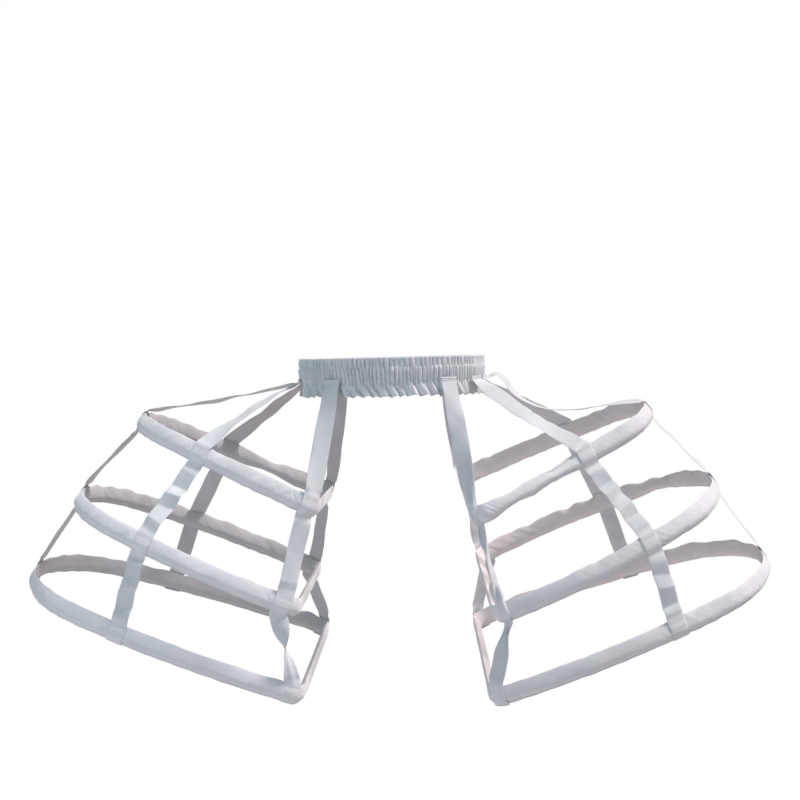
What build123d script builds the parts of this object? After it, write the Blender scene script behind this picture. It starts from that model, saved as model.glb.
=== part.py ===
from build123d import *
import os
from dataclasses import dataclass
from math import atan2, cos, pi, radians, sin, sqrt

# Crinoline cage of the side-hoop kind: a gathered waistband and, on each hip,
# three D-shaped boned hoops hung one under another on cloth tapes.
# Millimetres. Origin at the middle of the waist opening, +Z up.
# The wearer faces -Y, so the wearer's left hip is at +X.

# Waistband cloth: a heading, a channel for the elastic and a frill, one below another
waist_half_width = 115
waist_half_depth = 86
heading_height = 12
heading_flare = 2.2
channel_seam = 3.2
channel_shoulder = 2.5
frill_height = 18
cloth_thickness = 1.6
gather_count = 52
gather_depth = 3
frill_flare = 1.5
frill_fold_depth = 7

# Flat elastic in the waist channel, laid in short straight stretches
elastic_height = 11
elastic_thickness = 1.6
elastic_stretches = 40
elastic_clearance = 0.3

# Cloth of a hoop sleeve round its pocket: beside it, and above and below it.
# Each face is flat in the middle and slopes from there to the thinner edges
sleeve_wall = 2.2
sleeve_fold = 4.4
sleeve_face_height = 10
sleeve_edge_thickness = 3

# Flat bone, and the flat tube that joins its two ends on the hip run
bone_height = 13
bone_thickness = 1.4
bone_end_gap = 1
joiner_length = 40
joiner_wall = 0.6
joiner_clearance = 0.2
pocket_clearance = 0.3

# Tapes
tape_width = 22
tape_thickness = 1
tape_clearance = 0.3
tape_waist_lap = 4

# Hoops: distance of the hip run from the middle, its drop below the waist,
# the reach from the hip run to the tip, half the depth front to back, and the bends
top_hip_gap = 93
top_drop = 159
top_reach = 256
top_half_depth = 124
top_run_radius = 1500
top_tip_radius = 77
middle_hip_gap = 116
middle_drop = 273
middle_reach = 317
middle_half_depth = 139
middle_run_radius = 430
middle_tip_radius = 118
bottom_hip_gap = 110
bottom_drop = 367
bottom_reach = 379
bottom_half_depth = 145
bottom_run_radius = 700
bottom_tip_radius = 118
hip_corner_radius = 16

# Straight stretches in which each bend of a hoop is drawn, an odd number at the tip
corner_stretches = 4
run_stretches = 4
tip_stretches = 15

# Angles by which each hoop rises outwards
top_rise_deg = 25
middle_rise_deg = 23.5
bottom_rise_deg = 19

# Angles by which the back of each hoop hangs higher than its front, from the top hoop down
left_hang_deg = (6, 6, 6.5)
right_hang_deg = (-2.5, -0.5, 3.5)

# Where each tape crosses the hoops, from the top hoop down: shares of the way round
# a hoop from the middle of its hip run to its tip
front_inner_shares = (0.285, 0.272, 0.245)
front_mid_shares = (0.66, 0.645, 0.635)
side_shares = (1, 1, 1)
back_mid_shares = (0.665, 0.622, 0.62)
back_inner_shares = (0.285, 0.272, 0.245)

# Where each tape leaves the waist: shares of the turn from the side to the front or back
front_inner_waist_share = 0.59
front_mid_waist_share = 0.24
side_waist_share = 0
back_mid_waist_share = 0.24
back_inner_waist_share = 0.59

# Places along a twisted span where the tape is drawn: it has made as large a share of half a turn
twist_shares = (0.15, 0.3, 0.43, 0.57, 0.7, 0.85)

# Shape of the side tapes between the waist and the top hoop: how far along the straight line
# between them, and how far above it, as shares of that line's length
left_slack_shares = (
    (0.08, 0.044),
    (0.14, 0.006),
    (0.17, -0.047),
    (0.28, -0.113),
    (0.41, -0.143),
    (0.53, -0.128),
    (0.66, -0.094),
    (0.83, -0.046),
)
right_slack_shares = ((0.3, -0.014), (0.6, -0.016))

LEFT = 1
RIGHT = -1
FRONT = -1
BACK = 1


@dataclass(frozen=True)
class Hoop:
    """One D-shaped loop: sizes in its own plane, and how that plane is hung."""

    side: int
    hip_gap: float
    drop: float
    reach: float
    half_depth: float
    run_radius: float
    tip_radius: float
    rise_deg: float
    hang_deg: float

    def plane(self):
        """Plane of the loop: X runs outwards from the hip run, Z points up."""
        rise = radians(self.rise_deg)
        hang = radians(self.hang_deg)
        outward = Vector(self.side * cos(rise), 0, sin(rise))
        backward = Vector(0, cos(hang), sin(hang))
        upward = outward.cross(backward) * self.side
        return Plane(origin=(self.side * self.hip_gap, 0, -self.drop), x_dir=outward, z_dir=upward)

    def loop(self, offset=0):
        """Closed D outline, offset outwards, from the middle of the hip run round the tip and back."""
        corner_centre = Vector(hip_corner_radius, self.half_depth - hip_corner_radius)
        tip_centre = Vector(self.reach - self.tip_radius, 0)
        run_centre = self.run_centre(corner_centre, tip_centre)
        run_start = direction(run_centre, corner_centre)
        run_end = direction(run_centre, tip_centre)
        corner = bend(corner_centre, hip_corner_radius + offset, pi, run_start, corner_stretches)
        run = bend(run_centre, self.run_radius + offset, run_start, run_end, run_stretches)
        tip = bend(tip_centre, self.tip_radius + offset, run_end, -run_end, tip_stretches)
        half = corner + run[1:-1]
        other_half = [mirrored(point) for point in half[::-1]]
        return Polyline(Vector(-offset, 0), *half, *tip, *other_half, close=True)

    def run_centre(self, corner_centre, tip_centre):
        """Middle of the wide bend that runs on smoothly from the corner's bend into the tip's."""
        corner_distance = self.run_radius - hip_corner_radius
        tip_distance = self.run_radius - self.tip_radius
        between = tip_centre - corner_centre
        along = (corner_distance**2 - tip_distance**2 + between.length**2) / (2 * between.length)
        across = sqrt(corner_distance**2 - along**2)
        towards = between.normalized()
        return corner_centre + towards * along + towards.rotate(Axis.Z, -90) * across

    def band(self, thickness, height):
        """Flat strip of the given section bent round the whole loop, in the loop's plane."""
        outer = make_face(self.loop(thickness / 2))
        inner = make_face(self.loop(-thickness / 2))
        return extrude(outer - inner, height / 2, both=True)

    def crossing(self, facing, share):
        """Frame where a tape crosses: Y along the hoop, X out of its face, Z up."""
        path = self.loop()
        half = facing * self.side
        point = path.position_at(share / 2)
        along = path.tangent_at(share / 2)
        outward = Vector(-along.Y, along.X * half)
        plane = self.plane()
        origin = plane.from_local_coords(Vector(point.X, point.Y * half))
        x_dir = plane.x_dir * outward.X + plane.y_dir * outward.Y
        return Plane(origin=origin, x_dir=x_dir, z_dir=plane.z_dir)


def mirrored(point):
    """The same point on the other side of a hoop's middle line."""
    return Vector(point.X, -point.Y)


def direction(start, end):
    """Angle of the line from one point to another."""
    between = end - start
    return atan2(between.Y, between.X)


def bend(centre, radius, start, end, stretches):
    """Points along an arc between two angles, both ends included, in whole stretches."""
    count = round(stretches)
    angles = [start + (end - start) * step / count for step in range(count + 1)]
    return [centre + Vector(cos(angle), sin(angle)) * radius for angle in angles]


def hoops_of(side, hang_deg):
    """The three hoops of one side, from the top down."""
    top_hang, middle_hang, bottom_hang = hang_deg
    top = Hoop(side, top_hip_gap, top_drop, top_reach, top_half_depth,
               top_run_radius, top_tip_radius, top_rise_deg, top_hang)
    middle = Hoop(side, middle_hip_gap, middle_drop, middle_reach, middle_half_depth,
                  middle_run_radius, middle_tip_radius, middle_rise_deg, middle_hang)
    bottom = Hoop(side, bottom_hip_gap, bottom_drop, bottom_reach, bottom_half_depth,
                  bottom_run_radius, bottom_tip_radius, bottom_rise_deg, bottom_hang)
    return {"top": top, "middle": middle, "bottom": bottom}


# Solids made of flat facets, for gathered and twisted cloth

def patch(corners, leaning):
    """Two triangles over a four-cornered patch, split from its first corner or from its second."""
    first, second, third, fourth = corners[leaning:] + corners[:leaning]
    return [Face(Wire.make_polygon([first, second, third])), Face(Wire.make_polygon([first, third, fourth]))]


def strip(ring, next_ring, leanings):
    """Patches between two closed rings of as many points, each split the way that its leaning says."""
    faces = []
    for index, leaning in enumerate(leanings):
        following = (index + 1) % len(ring)
        corners = [ring[index], ring[following], next_ring[following], next_ring[index]]
        faces += patch(corners, leaning)
    return faces


def cloth_tube(outer_rings, inner_rings):
    """Cloth round an opening: an outer and an inner skin, split alike, closed along both edges."""
    forward = [0] * len(outer_rings[0])
    backward = [1] * len(outer_rings[0])
    faces = strip(inner_rings[0], outer_rings[0], forward)
    for lower, upper in zip(outer_rings, outer_rings[1:]):
        faces += strip(lower, upper, forward)
    for lower, upper in zip(inner_rings, inner_rings[1:]):
        faces += strip(upper, lower, backward)
    faces += strip(outer_rings[-1], inner_rings[-1], forward)
    return Solid(Shell(faces))


def cloth_strip(sections):
    """Cloth through four-cornered sections, its two faces split alike, closed at both ends."""
    leanings = (0, 0, 1, 1)
    faces = patch(sections[0][::-1], 0)
    for section, next_section in zip(sections, sections[1:]):
        faces += strip(section, next_section, leanings)
    faces += patch(sections[-1], 0)
    return Solid(Shell(faces))


# Waistband

elastic_pocket_thickness = elastic_thickness + 2 * elastic_clearance
elastic_pocket_height = elastic_height + 2 * elastic_clearance
channel_height = elastic_pocket_height + 2 * channel_seam
channel_back = elastic_pocket_thickness / 2 + cloth_thickness
channel_front = channel_back + gather_depth / 2
band_top = (heading_height + channel_height + frill_height) / 2
channel_top = band_top - heading_height
channel_bottom = channel_top - channel_height
frill_hem = channel_bottom - frill_height
elastic_middle = (channel_top + channel_bottom) / 2


def waist_frame(turn_share):
    """Frame at a share of the turn round the waist from its left side: X outwards, Z up."""
    angle = 2 * pi * turn_share
    outward = Vector(waist_half_depth * cos(angle), waist_half_width * sin(angle), 0)
    origin = Vector(waist_half_width * cos(angle), waist_half_depth * sin(angle), 0)
    return Plane(origin=origin, x_dir=outward, z_dir=(0, 0, 1))


def waist_ring(count, offset, height, fold_depth=0):
    """Closed ring round the waist, in and out by the fold depth from point to point."""
    points = []
    for index in range(count):
        fold = fold_depth / 2 if index % 2 else -fold_depth / 2
        points.append(waist_frame(index / count).from_local_coords((offset + fold, 0, height)))
    return points


def waist_casing():
    """Gathered cloth round the pocket of the elastic, each skin from the hem up."""
    skin = cloth_thickness / 2
    count = 2 * gather_count
    lower_shoulder = channel_bottom + channel_shoulder
    upper_shoulder = channel_top - channel_shoulder
    outer_rings = [
        waist_ring(count, frill_flare + skin, frill_hem, frill_fold_depth),
        waist_ring(count, skin, channel_bottom, gather_depth),
        waist_ring(count, channel_front, lower_shoulder, gather_depth),
        waist_ring(count, channel_front, upper_shoulder, gather_depth),
        waist_ring(count, heading_flare + skin, channel_top, gather_depth),
        waist_ring(count, heading_flare + skin, band_top, gather_depth),
    ]
    inner_rings = [
        waist_ring(count, frill_flare - skin, frill_hem, frill_fold_depth),
        waist_ring(count, -skin, channel_bottom, gather_depth),
        waist_ring(count, -channel_back, lower_shoulder),
        waist_ring(count, -channel_back, upper_shoulder),
        waist_ring(count, heading_flare - skin, band_top, gather_depth),
    ]
    pocket = waist_strip(elastic_pocket_thickness, elastic_pocket_height)
    return cloth_tube(outer_rings, inner_rings) - pocket


def waist_strip(thickness, height):
    """Flat strip laid round the waist channel in straight stretches."""
    outer = Polyline(waist_ring(elastic_stretches, thickness / 2, 0), close=True)
    inner = Polyline(waist_ring(elastic_stretches, -thickness / 2, 0), close=True)
    ring = make_face(outer) - make_face(inner)
    return Pos(0, 0, elastic_middle) * extrude(ring, height / 2, both=True)


# Hoops

joiner_thickness = bone_thickness + 2 * (joiner_clearance + joiner_wall)
joiner_height = bone_height + 2 * (joiner_clearance + joiner_wall)
pocket_thickness = joiner_thickness + 2 * pocket_clearance
pocket_height = joiner_height + 2 * pocket_clearance
sleeve_thickness = pocket_thickness + 2 * sleeve_wall
sleeve_height = pocket_height + 2 * sleeve_fold


def sleeve(hoop):
    """Cloth tube round the loop, hollow for the bone and its joiner."""
    face = sleeve_thickness / 2
    edge = sleeve_edge_thickness / 2
    section = Polyline(
        (face, sleeve_face_height / 2),
        (edge, sleeve_height / 2),
        (-edge, sleeve_height / 2),
        (-face, sleeve_face_height / 2),
        (-face, -sleeve_face_height / 2),
        (-edge, -sleeve_height / 2),
        (edge, -sleeve_height / 2),
        (face, -sleeve_face_height / 2),
        close=True,
    )
    tube = sweep(Plane.XZ * make_face(section), path=hoop.loop(), transition=Transition.RIGHT)
    return hoop.plane() * (tube - hoop.band(pocket_thickness, pocket_height))


def bone(hoop):
    """Flat strip bent to the loop, with a gap between its ends inside the joiner."""
    cut = Box(sleeve_thickness, bone_end_gap, sleeve_height)
    return hoop.plane() * (hoop.band(bone_thickness, bone_height) - cut)


def joiner(hoop):
    """Flat tube over the two ends of the bone."""
    tube = Box(joiner_thickness, joiner_length, joiner_height)
    hole_thickness = bone_thickness + 2 * joiner_clearance
    hole_height = bone_height + 2 * joiner_clearance
    return hoop.plane() * (tube - Box(hole_thickness, joiner_length, hole_height))


# Tapes

tape_lift = tape_clearance + tape_thickness / 2


def waist_touches(frame):
    """Points of the channel that the top end of a tape laps over, with the tape's width direction."""
    crest = channel_front + gather_depth / 2
    heights = (channel_bottom + tape_waist_lap, channel_bottom)
    return [(frame.from_local_coords((crest, 0, height)), frame.y_dir) for height in heights]


def sleeve_touches(frame, is_last):
    """Corners of a sleeve that a tape lies over, from its top edge down, and under the last sleeve."""
    face = (sleeve_thickness / 2, sleeve_face_height / 2)
    edge = (sleeve_edge_thickness / 2, sleeve_height / 2)
    corners = [(edge[0], 0, edge[1]), (face[0], 0, face[1]), (face[0], 0, -face[1]), (edge[0], 0, -edge[1])]
    if is_last:
        corners.append((-edge[0], 0, -edge[1]))
    return [(frame.from_local_coords(corner), frame.y_dir) for corner in corners]


def slack_touches(start, end, across, slack_shares):
    """Points of a tape that hangs loose between two points."""
    span = end - start
    drop = Vector(0, 0, span.length)
    return [(start + span * along + drop * rise, across) for along, rise in slack_shares]


def tape_sections(touches):
    """Sections of a tape drawn over the touched points, mitred at each bend and lifted by its clearance."""
    sections = []
    for index, (point, across) in enumerate(touches):
        before = touches[max(index - 1, 0)][0]
        after = touches[min(index + 1, len(touches) - 1)][0]
        normals = [step.cross(across).normalized() for step in (point - before, after - point) if step.length]
        mitre = (normals[0] + normals[-1]) / (1 + normals[0].dot(normals[-1]))
        side = across * (tape_width / 2)
        upper = point + mitre * (tape_lift + tape_thickness / 2)
        lower = point + mitre * (tape_lift - tape_thickness / 2)
        sections.append([upper + side, upper - side, lower - side, lower + side])
    return sections


def half_turn(sections, index):
    """The same sections, with half a turn in the span that ends at the given section."""
    turned = [section[2:] + section[:2] for section in sections[index:]]
    section = sections[index - 1]
    start = sum(section, Vector()) / len(section)
    end = sum(turned[0], Vector()) / len(section)
    axis = Axis((0, 0, 0), end - start)
    span = []
    for share in twist_shares:
        middle = start + (end - start) * share
        span.append([middle + (corner - start).rotate(axis, 180 * share) for corner in section])
    return sections[:index] + span + turned


def tape(hoops, facing, crossing_shares, waist_share, twist_above=None, slack_shares=()):
    """One tape from the waist down over the hoops of a side, with any half turn and loose stretch."""
    quarter = facing * waist_share / 4
    touches = waist_touches(waist_frame(quarter if hoops["top"].side == LEFT else 1 / 2 - quarter))
    starts = {}
    for (level, hoop), share in zip(hoops.items(), crossing_shares):
        sleeve_corners = sleeve_touches(hoop.crossing(facing, share), level == "bottom")
        if level == "top":
            start, across = touches[-1]
            touches += slack_touches(start, sleeve_corners[0][0], across, slack_shares)
        starts[level] = len(touches)
        touches += sleeve_corners
    sections = tape_sections(touches)
    if twist_above:
        sections = half_turn(sections, starts[twist_above])
    return cloth_strip(sections)


def side_pieces(name, hoops, twist_above, slack_shares):
    """Sleeves, bones, joiners and tapes of one side, by name."""
    pieces = {}
    for level, hoop in hoops.items():
        pieces[f"{name}_{level}_sleeve"] = sleeve(hoop)
        pieces[f"{name}_{level}_bone"] = bone(hoop)
        pieces[f"{name}_{level}_joiner"] = joiner(hoop)
    pieces[f"{name}_front_inner_tape"] = tape(hoops, FRONT, front_inner_shares,
                                              front_inner_waist_share, twist_above)
    pieces[f"{name}_front_mid_tape"] = tape(hoops, FRONT, front_mid_shares, front_mid_waist_share)
    pieces[f"{name}_side_tape"] = tape(hoops, FRONT, side_shares, side_waist_share,
                                       slack_shares=slack_shares)
    pieces[f"{name}_back_mid_tape"] = tape(hoops, BACK, back_mid_shares, back_mid_waist_share)
    pieces[f"{name}_back_inner_tape"] = tape(hoops, BACK, back_inner_shares, back_inner_waist_share)
    return pieces


def main():
    """Write one file for each piece."""
    os.makedirs("parts", exist_ok=True)
    pieces = {
        "waist_casing": waist_casing(),
        "waist_elastic": waist_strip(elastic_thickness, elastic_height),
    }
    pieces |= side_pieces("left", hoops_of(LEFT, left_hang_deg), "middle", left_slack_shares)
    pieces |= side_pieces("right", hoops_of(RIGHT, right_hang_deg), "bottom", right_slack_shares)
    for name, piece in pieces.items():
        export_step(piece, f"parts/{name}.step")


main()
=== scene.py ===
"""Crinoline cage of the side-hoop kind: a gathered waistband, six boned hoops and ten tapes.

Metres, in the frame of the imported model: origin in the middle of the waist opening, +Z up,
the wearer's front towards -Y and the wearer's left hip at +X.
"""
import logging
from dataclasses import dataclass, field, replace
from enum import Enum
from math import atan2, cos, hypot, pi, radians, sin, sqrt
from typing import Any, ClassVar

import bmesh
import bpy
import numpy as np
from mathutils import Matrix, Vector
from numpy.typing import NDArray


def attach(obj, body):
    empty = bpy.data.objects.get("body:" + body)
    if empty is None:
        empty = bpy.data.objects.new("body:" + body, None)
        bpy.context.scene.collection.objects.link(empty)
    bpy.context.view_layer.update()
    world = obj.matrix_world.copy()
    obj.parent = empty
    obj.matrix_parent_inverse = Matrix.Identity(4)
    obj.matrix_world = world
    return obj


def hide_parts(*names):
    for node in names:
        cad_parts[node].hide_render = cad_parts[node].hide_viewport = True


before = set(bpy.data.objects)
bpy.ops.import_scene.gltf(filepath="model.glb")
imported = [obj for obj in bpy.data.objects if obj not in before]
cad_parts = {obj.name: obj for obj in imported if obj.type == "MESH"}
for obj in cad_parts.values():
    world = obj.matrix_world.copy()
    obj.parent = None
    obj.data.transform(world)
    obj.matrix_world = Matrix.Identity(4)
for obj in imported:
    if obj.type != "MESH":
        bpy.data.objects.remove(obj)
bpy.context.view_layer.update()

log = logging.getLogger("crinoline_cage")
logging.basicConfig(level=logging.INFO, format="%(name)s: %(message)s")

Array = NDArray[np.float64]
Colour = tuple[float, float, float]
Place = tuple[float, float, float]
Output = tuple[bpy.types.Node, str]
BODY = "root"
WHITE: Colour = (1.0, 1.0, 1.0)
SHORTEST = 1e-12


class Side(Enum):
    """The wearer's two hips."""

    LEFT = 1
    RIGHT = -1


class Facing(Enum):
    """The half of a hoop that a tape crosses."""

    FRONT = -1
    BACK = 1


class Level(Enum):
    """The hoops of one side, from the waist down."""

    TOP = "top"
    MIDDLE = "middle"
    BOTTOM = "bottom"


class TapeRun(Enum):
    """The tapes of one side, from the front round to the back."""

    FRONT_INNER = "front_inner"
    FRONT_MID = "front_mid"
    SIDE = "side"
    BACK_MID = "back_mid"
    BACK_INNER = "back_inner"


class PaintedShade(Enum):
    """Painted shade of cloth, by how it lies to the light: none where sewn down, painted shade where its
    outer side hangs free, painted warm light or painted shade on its inner side.
    """

    SEWN = 0.0
    HUNG = 0.25
    LIT = 0.5
    DIM = 1.0


def unit(vectors: Array) -> Array:
    """Vectors along the last axis at length one."""
    return vectors / np.maximum(np.linalg.norm(vectors, axis=-1, keepdims=True), SHORTEST)


def ease(share: Array) -> Array:
    """Smooth step from 0 to 1, flat at both ends."""
    held = np.clip(share, 0.0, 1.0)
    return held * held * (3.0 - 2.0 * held)


def lengths_along(points: Array) -> Array:
    """Distances of a line's points from its start, along it."""
    steps = np.linalg.norm(np.diff(points, axis=0), axis=1)
    return np.concatenate([[0.0], np.cumsum(steps)])


def vectors_at(ways: Array, marks: Array, vectors: Array) -> Array:
    """Vectors at ways along a line, between those given at its marks."""
    return np.stack([np.interp(ways, marks, column) for column in np.transpose(vectors)], -1)


def show(piece: bpy.types.Object) -> None:
    """Puts an object into the scene."""
    bpy.context.collection.objects.link(piece)


@dataclass
class Drift:
    """Smooth wander round a closed line, made of a few waves with settled phases."""

    seed: int  # number that settles the waves
    slowest: int  # fewest waves in one turn
    fastest: int  # most waves in one turn
    wave_sizes: tuple[float, float] = (0.4, 1.0)  # least and greatest size of a wave

    def at(self, turns: Array) -> Array:
        """The wander at shares of the turn.

        Args:
            turns: Places round the line, 0 to 1.

        Returns:
            Values of about -1 to 1.
        """
        rng = np.random.default_rng(self.seed)
        waves = np.arange(self.slowest, self.fastest + 1)
        sizes = rng.uniform(*self.wave_sizes, len(waves))
        phases = rng.uniform(0.0, 2 * pi, len(waves))
        turned = 2 * pi * np.asarray(turns)[..., None] * waves + phases
        return (np.sin(turned) * sizes).sum(-1) / np.sqrt((sizes**2).sum() * 2)


@dataclass
class Gathers:
    """Uneven folds drawn up along a seam."""

    seed: int  # number that settles the folds
    length: float  # length of the seam, all the way round
    pitch: float  # mean distance between two folds
    unevenness: float  # how far the distances differ, as a share of the pitch
    roundness: float = 0.8  # power of the fold's outline; under 1 is full with tight valleys
    lean: float = 0.0  # shift of a fold's crest to one side, from 0 to 1
    floor: float = 0.0  # height below which the outline is cut off flat, which widens the valleys
    crests: tuple[float, float] = (0.55, 1.15)  # height of the lowest and of the highest crest

    def at(self, distances: Array) -> Array:
        """Height of the folds.

        Args:
            distances: Distances along the seam.

        Returns:
            Heights from 0 in a valley to about 1 on a crest.
        """
        rng = np.random.default_rng(self.seed)
        count = int(round(self.length / self.pitch))
        gaps = 1.0 + self.unevenness * rng.uniform(-1.0, 1.0, count)
        valleys = np.concatenate([[0.0], np.cumsum(gaps)]) * self.length / gaps.sum()
        sizes = rng.uniform(*self.crests, count)
        held = np.mod(distances, self.length)
        fold = np.clip(np.searchsorted(valleys, held, side="right") - 1, 0, count - 1)
        share = (held - valleys[fold]) / (valleys[fold + 1] - valleys[fold])
        share = share ** (1.0 + self.lean)
        crest = np.maximum(np.sin(pi * share) - self.floor, 0.0) / (1.0 - self.floor)
        return sizes[fold] * crest**self.roundness


@dataclass
class GridMesh:
    """A mesh built from grids of points whose columns run round, with its cloth coordinates."""

    name: str  # name of the piece
    points: list[Array] = field(default_factory=list)  # points of each grid
    faces: list[Array] = field(default_factory=list)  # corners of each grid's faces
    cloth: list[Array] = field(default_factory=list)  # cloth coordinates of the points
    inner: list[Array] = field(default_factory=list)  # painted shade of the points
    count: int = 0  # number of points so far

    def add_grid(self, grid: Array, cloth: Array, inner: Array, wrap_rows: bool) -> None:
        """Adds a grid of four-cornered faces whose last column joins the first.

        Args:
            grid: Points, rows by columns by 3.
            cloth: Cloth coordinates of the same points, rows by columns by 2, in metres.
            inner: Painted shade of the points.
            wrap_rows: Whether the last row joins the first.
        """
        rows, columns = grid.shape[:2]
        index = np.arange(rows * columns).reshape(rows, columns) + self.count
        below = index if wrap_rows else index[:-1]
        above = np.roll(index, -1, 0) if wrap_rows else index[1:]
        quads = [below, np.roll(below, -1, 1), np.roll(above, -1, 1), above]
        self.points.append(grid.reshape(-1, 3))
        self.cloth.append(cloth.reshape(-1, 2))
        self.inner.append(np.broadcast_to(inner, (rows, columns)).ravel())
        self.faces.append(np.stack(quads, -1).reshape(-1, 4))
        self.count += rows * columns

    def add_cap(self, ring: Array, columns: int) -> None:
        """Closes the flat end of a tape whose ring has its two faces back to back.

        Args:
            ring: Indices of the ring's points.
            columns: Points across the tape.
        """
        steps = np.arange(columns - 1)
        quads = [ring[steps], ring[steps + 1], ring[-(steps + 1)], ring[-steps]]
        self.faces.append(np.stack(quads, -1))

    def make(self) -> bpy.types.Object:
        """The finished object, with smooth shading and outward normals.

        Returns:
            The object, linked to the scene.
        """
        points = np.concatenate(self.points)
        cloth = np.concatenate(self.cloth)
        corners = [list(dict.fromkeys(face)) for face in np.concatenate(self.faces).tolist()]
        mesh = bpy.data.meshes.new(self.name)
        mesh.from_pydata(points.tolist(), [], corners)
        layer = mesh.uv_layers.new(name="cloth")
        loops = np.empty(len(mesh.loops), np.int32)
        mesh.loops.foreach_get("vertex_index", loops)
        layer.data.foreach_set("uv", cloth[loops].astype(np.float32).ravel())
        # point attribute that carries the painted shade for the colour ramp of the cloth
        inner = mesh.attributes.new("inner", "FLOAT", "POINT")
        inner.data.foreach_set("value", np.concatenate(self.inner).astype(np.float32))
        shaped = bmesh.new()
        shaped.from_mesh(mesh)
        bmesh.ops.recalc_face_normals(shaped, faces=shaped.faces)
        shaped.to_mesh(mesh)
        shaped.free()
        mesh.shade_smooth()
        piece = bpy.data.objects.new(self.name, mesh)
        show(piece)
        return piece


def settle(piece: bpy.types.Object, finish: bpy.types.Material, slot: str, *nodes: str) -> None:
    """Gives a piece its finish and its place in the model.

    Args:
        piece: The finished piece.
        finish: Its material.
        slot: Name of the material slot; not used.
        nodes: The solids that it stands for.
    """
    piece.data.materials.append(finish)
    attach(piece, BODY)
    if nodes:
        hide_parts(*nodes)
    log.info("%s: %d faces", piece.name, len(piece.data.polygons))


class NodeTree:
    """Short calls for building the nodes of a material or of the world."""

    def __init__(
        self, owner: bpy.types.Material | bpy.types.World, shader: str = "Principled BSDF"
    ) -> None:
        """Switches the owner's nodes on and keeps them, with the main shader.

        Args:
            owner: The material or the world.
            shader: Name of the shader that it starts with.
        """
        owner.use_nodes = True
        self.nodes = owner.node_tree.nodes
        self.links = owner.node_tree.links
        self.shader = self.nodes[shader]

    def add(self, kind: str, **settings: str) -> bpy.types.Node:
        """A new node.

        Args:
            kind: Type of the node.
            settings: Its settings by name.

        Returns:
            The new node.
        """
        node = self.nodes.new(kind)
        for name, value in settings.items():
            setattr(node, name, value)
        return node

    def join(self, source: Output, target: bpy.types.Node, socket: str | int) -> None:
        """Joins an output to a socket of another node."""
        self.links.new(source[0].outputs[source[1]], target.inputs[socket])

    @staticmethod
    def fix(node: bpy.types.Node, values: dict[str, Any]) -> None:
        """Sets the constant values of a node's sockets by name."""
        for socket, value in values.items():
            node.inputs[socket].default_value = value

    def math(self, operation: str, first: Output, second: Output | float = 0.0) -> Output:
        """An operation on two values.

        Args:
            operation: Name of the operation.
            first: The first value.
            second: The second value, or a number.

        Returns:
            The result.
        """
        node = self.add("ShaderNodeMath", operation=operation)
        self.join(first, node, 0)
        if isinstance(second, tuple):
            self.join(second, node, 1)
        else:
            node.inputs[1].default_value = second
        return node, "Value"

    def wave(self, source: Output, pitch: float) -> Output:
        """Rounded threads, from 0 to 1, across one cloth coordinate at a pitch."""
        turned = self.math("MULTIPLY", source, pi / pitch)
        return self.math("ABSOLUTE", self.math("SINE", turned))

    def noise(self, place: bpy.types.Node, scale: float, detail: float) -> Output:
        """Uneven patches in the object's space.

        Args:
            place: Node of the coordinates.
            scale: Patches to the metre.
            detail: Finer layers.

        Returns:
            A value from 0 to 1.
        """
        node = self.add("ShaderNodeTexNoise")
        self.fix(node, {"Scale": scale, "Detail": detail})
        self.join((place, "Object"), node, "Vector")
        return node, "Fac"

    def ramp(self, source: Output, *stops: tuple[float, Colour]) -> Output:
        """Colours between values.

        Args:
            source: The value.
            stops: Values and their colours, from the lowest up.

        Returns:
            The colour.
        """
        node = self.add("ShaderNodeValToRGB")
        elements = node.color_ramp.elements
        while len(elements) < len(stops):
            elements.new(0.5)
        for element, (position, colour) in zip(elements, stops):
            element.position = position
            element.color = (*colour, 1.0)
        self.join(source, node, "Fac")
        return node, "Color"

    def tinted(self, colour: Output, tint: Output) -> Output:
        """A colour multiplied by a tint.

        Args:
            colour: The colour.
            tint: The tint.

        Returns:
            The new colour.
        """
        node = self.add("ShaderNodeMix", data_type="RGBA", blend_type="MULTIPLY")
        self.fix(node, {"Factor": 1.0})
        self.join(colour, node, "A")
        self.join(tint, node, "B")
        return node, "Result"

    def bump(self, height: Output, depth: float, under: Output | None = None) -> Output:
        """Fine relief.

        Args:
            height: Height of the relief, from 0 to 1.
            depth: Its depth in metres.
            under: Coarser relief that it lies on.

        Returns:
            The normal.
        """
        node = self.add("ShaderNodeBump")
        self.fix(node, {"Distance": depth})
        self.join(height, node, "Height")
        if under is not None:
            self.join(under, node, "Normal")
        return node, "Normal"

    def dress(
        self, colour: Output, normal: Output, grain: Output, smoothest: float, roughest: float
    ) -> None:
        """Joins a colour, a relief and an uneven roughness to the main shader.

        Args:
            colour: The colour.
            normal: The normal of the relief.
            grain: Value from 0 to 1 that the roughness follows.
            smoothest: Roughness at 0.
            roughest: Roughness at 1.
        """
        rough = self.add("ShaderNodeMapRange")
        self.fix(rough, {"To Min": smoothest, "To Max": roughest})
        self.join(grain, rough, "Value")
        self.join((rough, "Result"), self.shader, "Roughness")
        self.join(colour, self.shader, "Base Color")
        self.join(normal, self.shader, "Normal")

    def seen(self, share: float) -> Output:
        """A share where the camera, a gloss or a clear surface looks, otherwise 0.

        Args:
            share: The share.

        Returns:
            The value.
        """
        path = self.add("ShaderNodeLightPath")
        seen = self.math("MAXIMUM", (path, "Is Camera Ray"), (path, "Is Glossy Ray"))
        seen = self.math("MAXIMUM", seen, (path, "Is Transmission Ray"))
        return self.math("MULTIPLY", seen, share)

    def blend(self, share: Output, first: Output, second: Output, output: str) -> None:
        """Ends the tree with a blend of two shaders.

        Args:
            share: Share of the second shader.
            first: The first shader.
            second: The second shader.
            output: Name of the tree's last node.
        """
        node = self.add("ShaderNodeMixShader")
        for socket, source in enumerate((share, first, second)):
            self.join(source, node, socket)
        self.join((node, "Shader"), self.nodes[output], "Surface")


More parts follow.
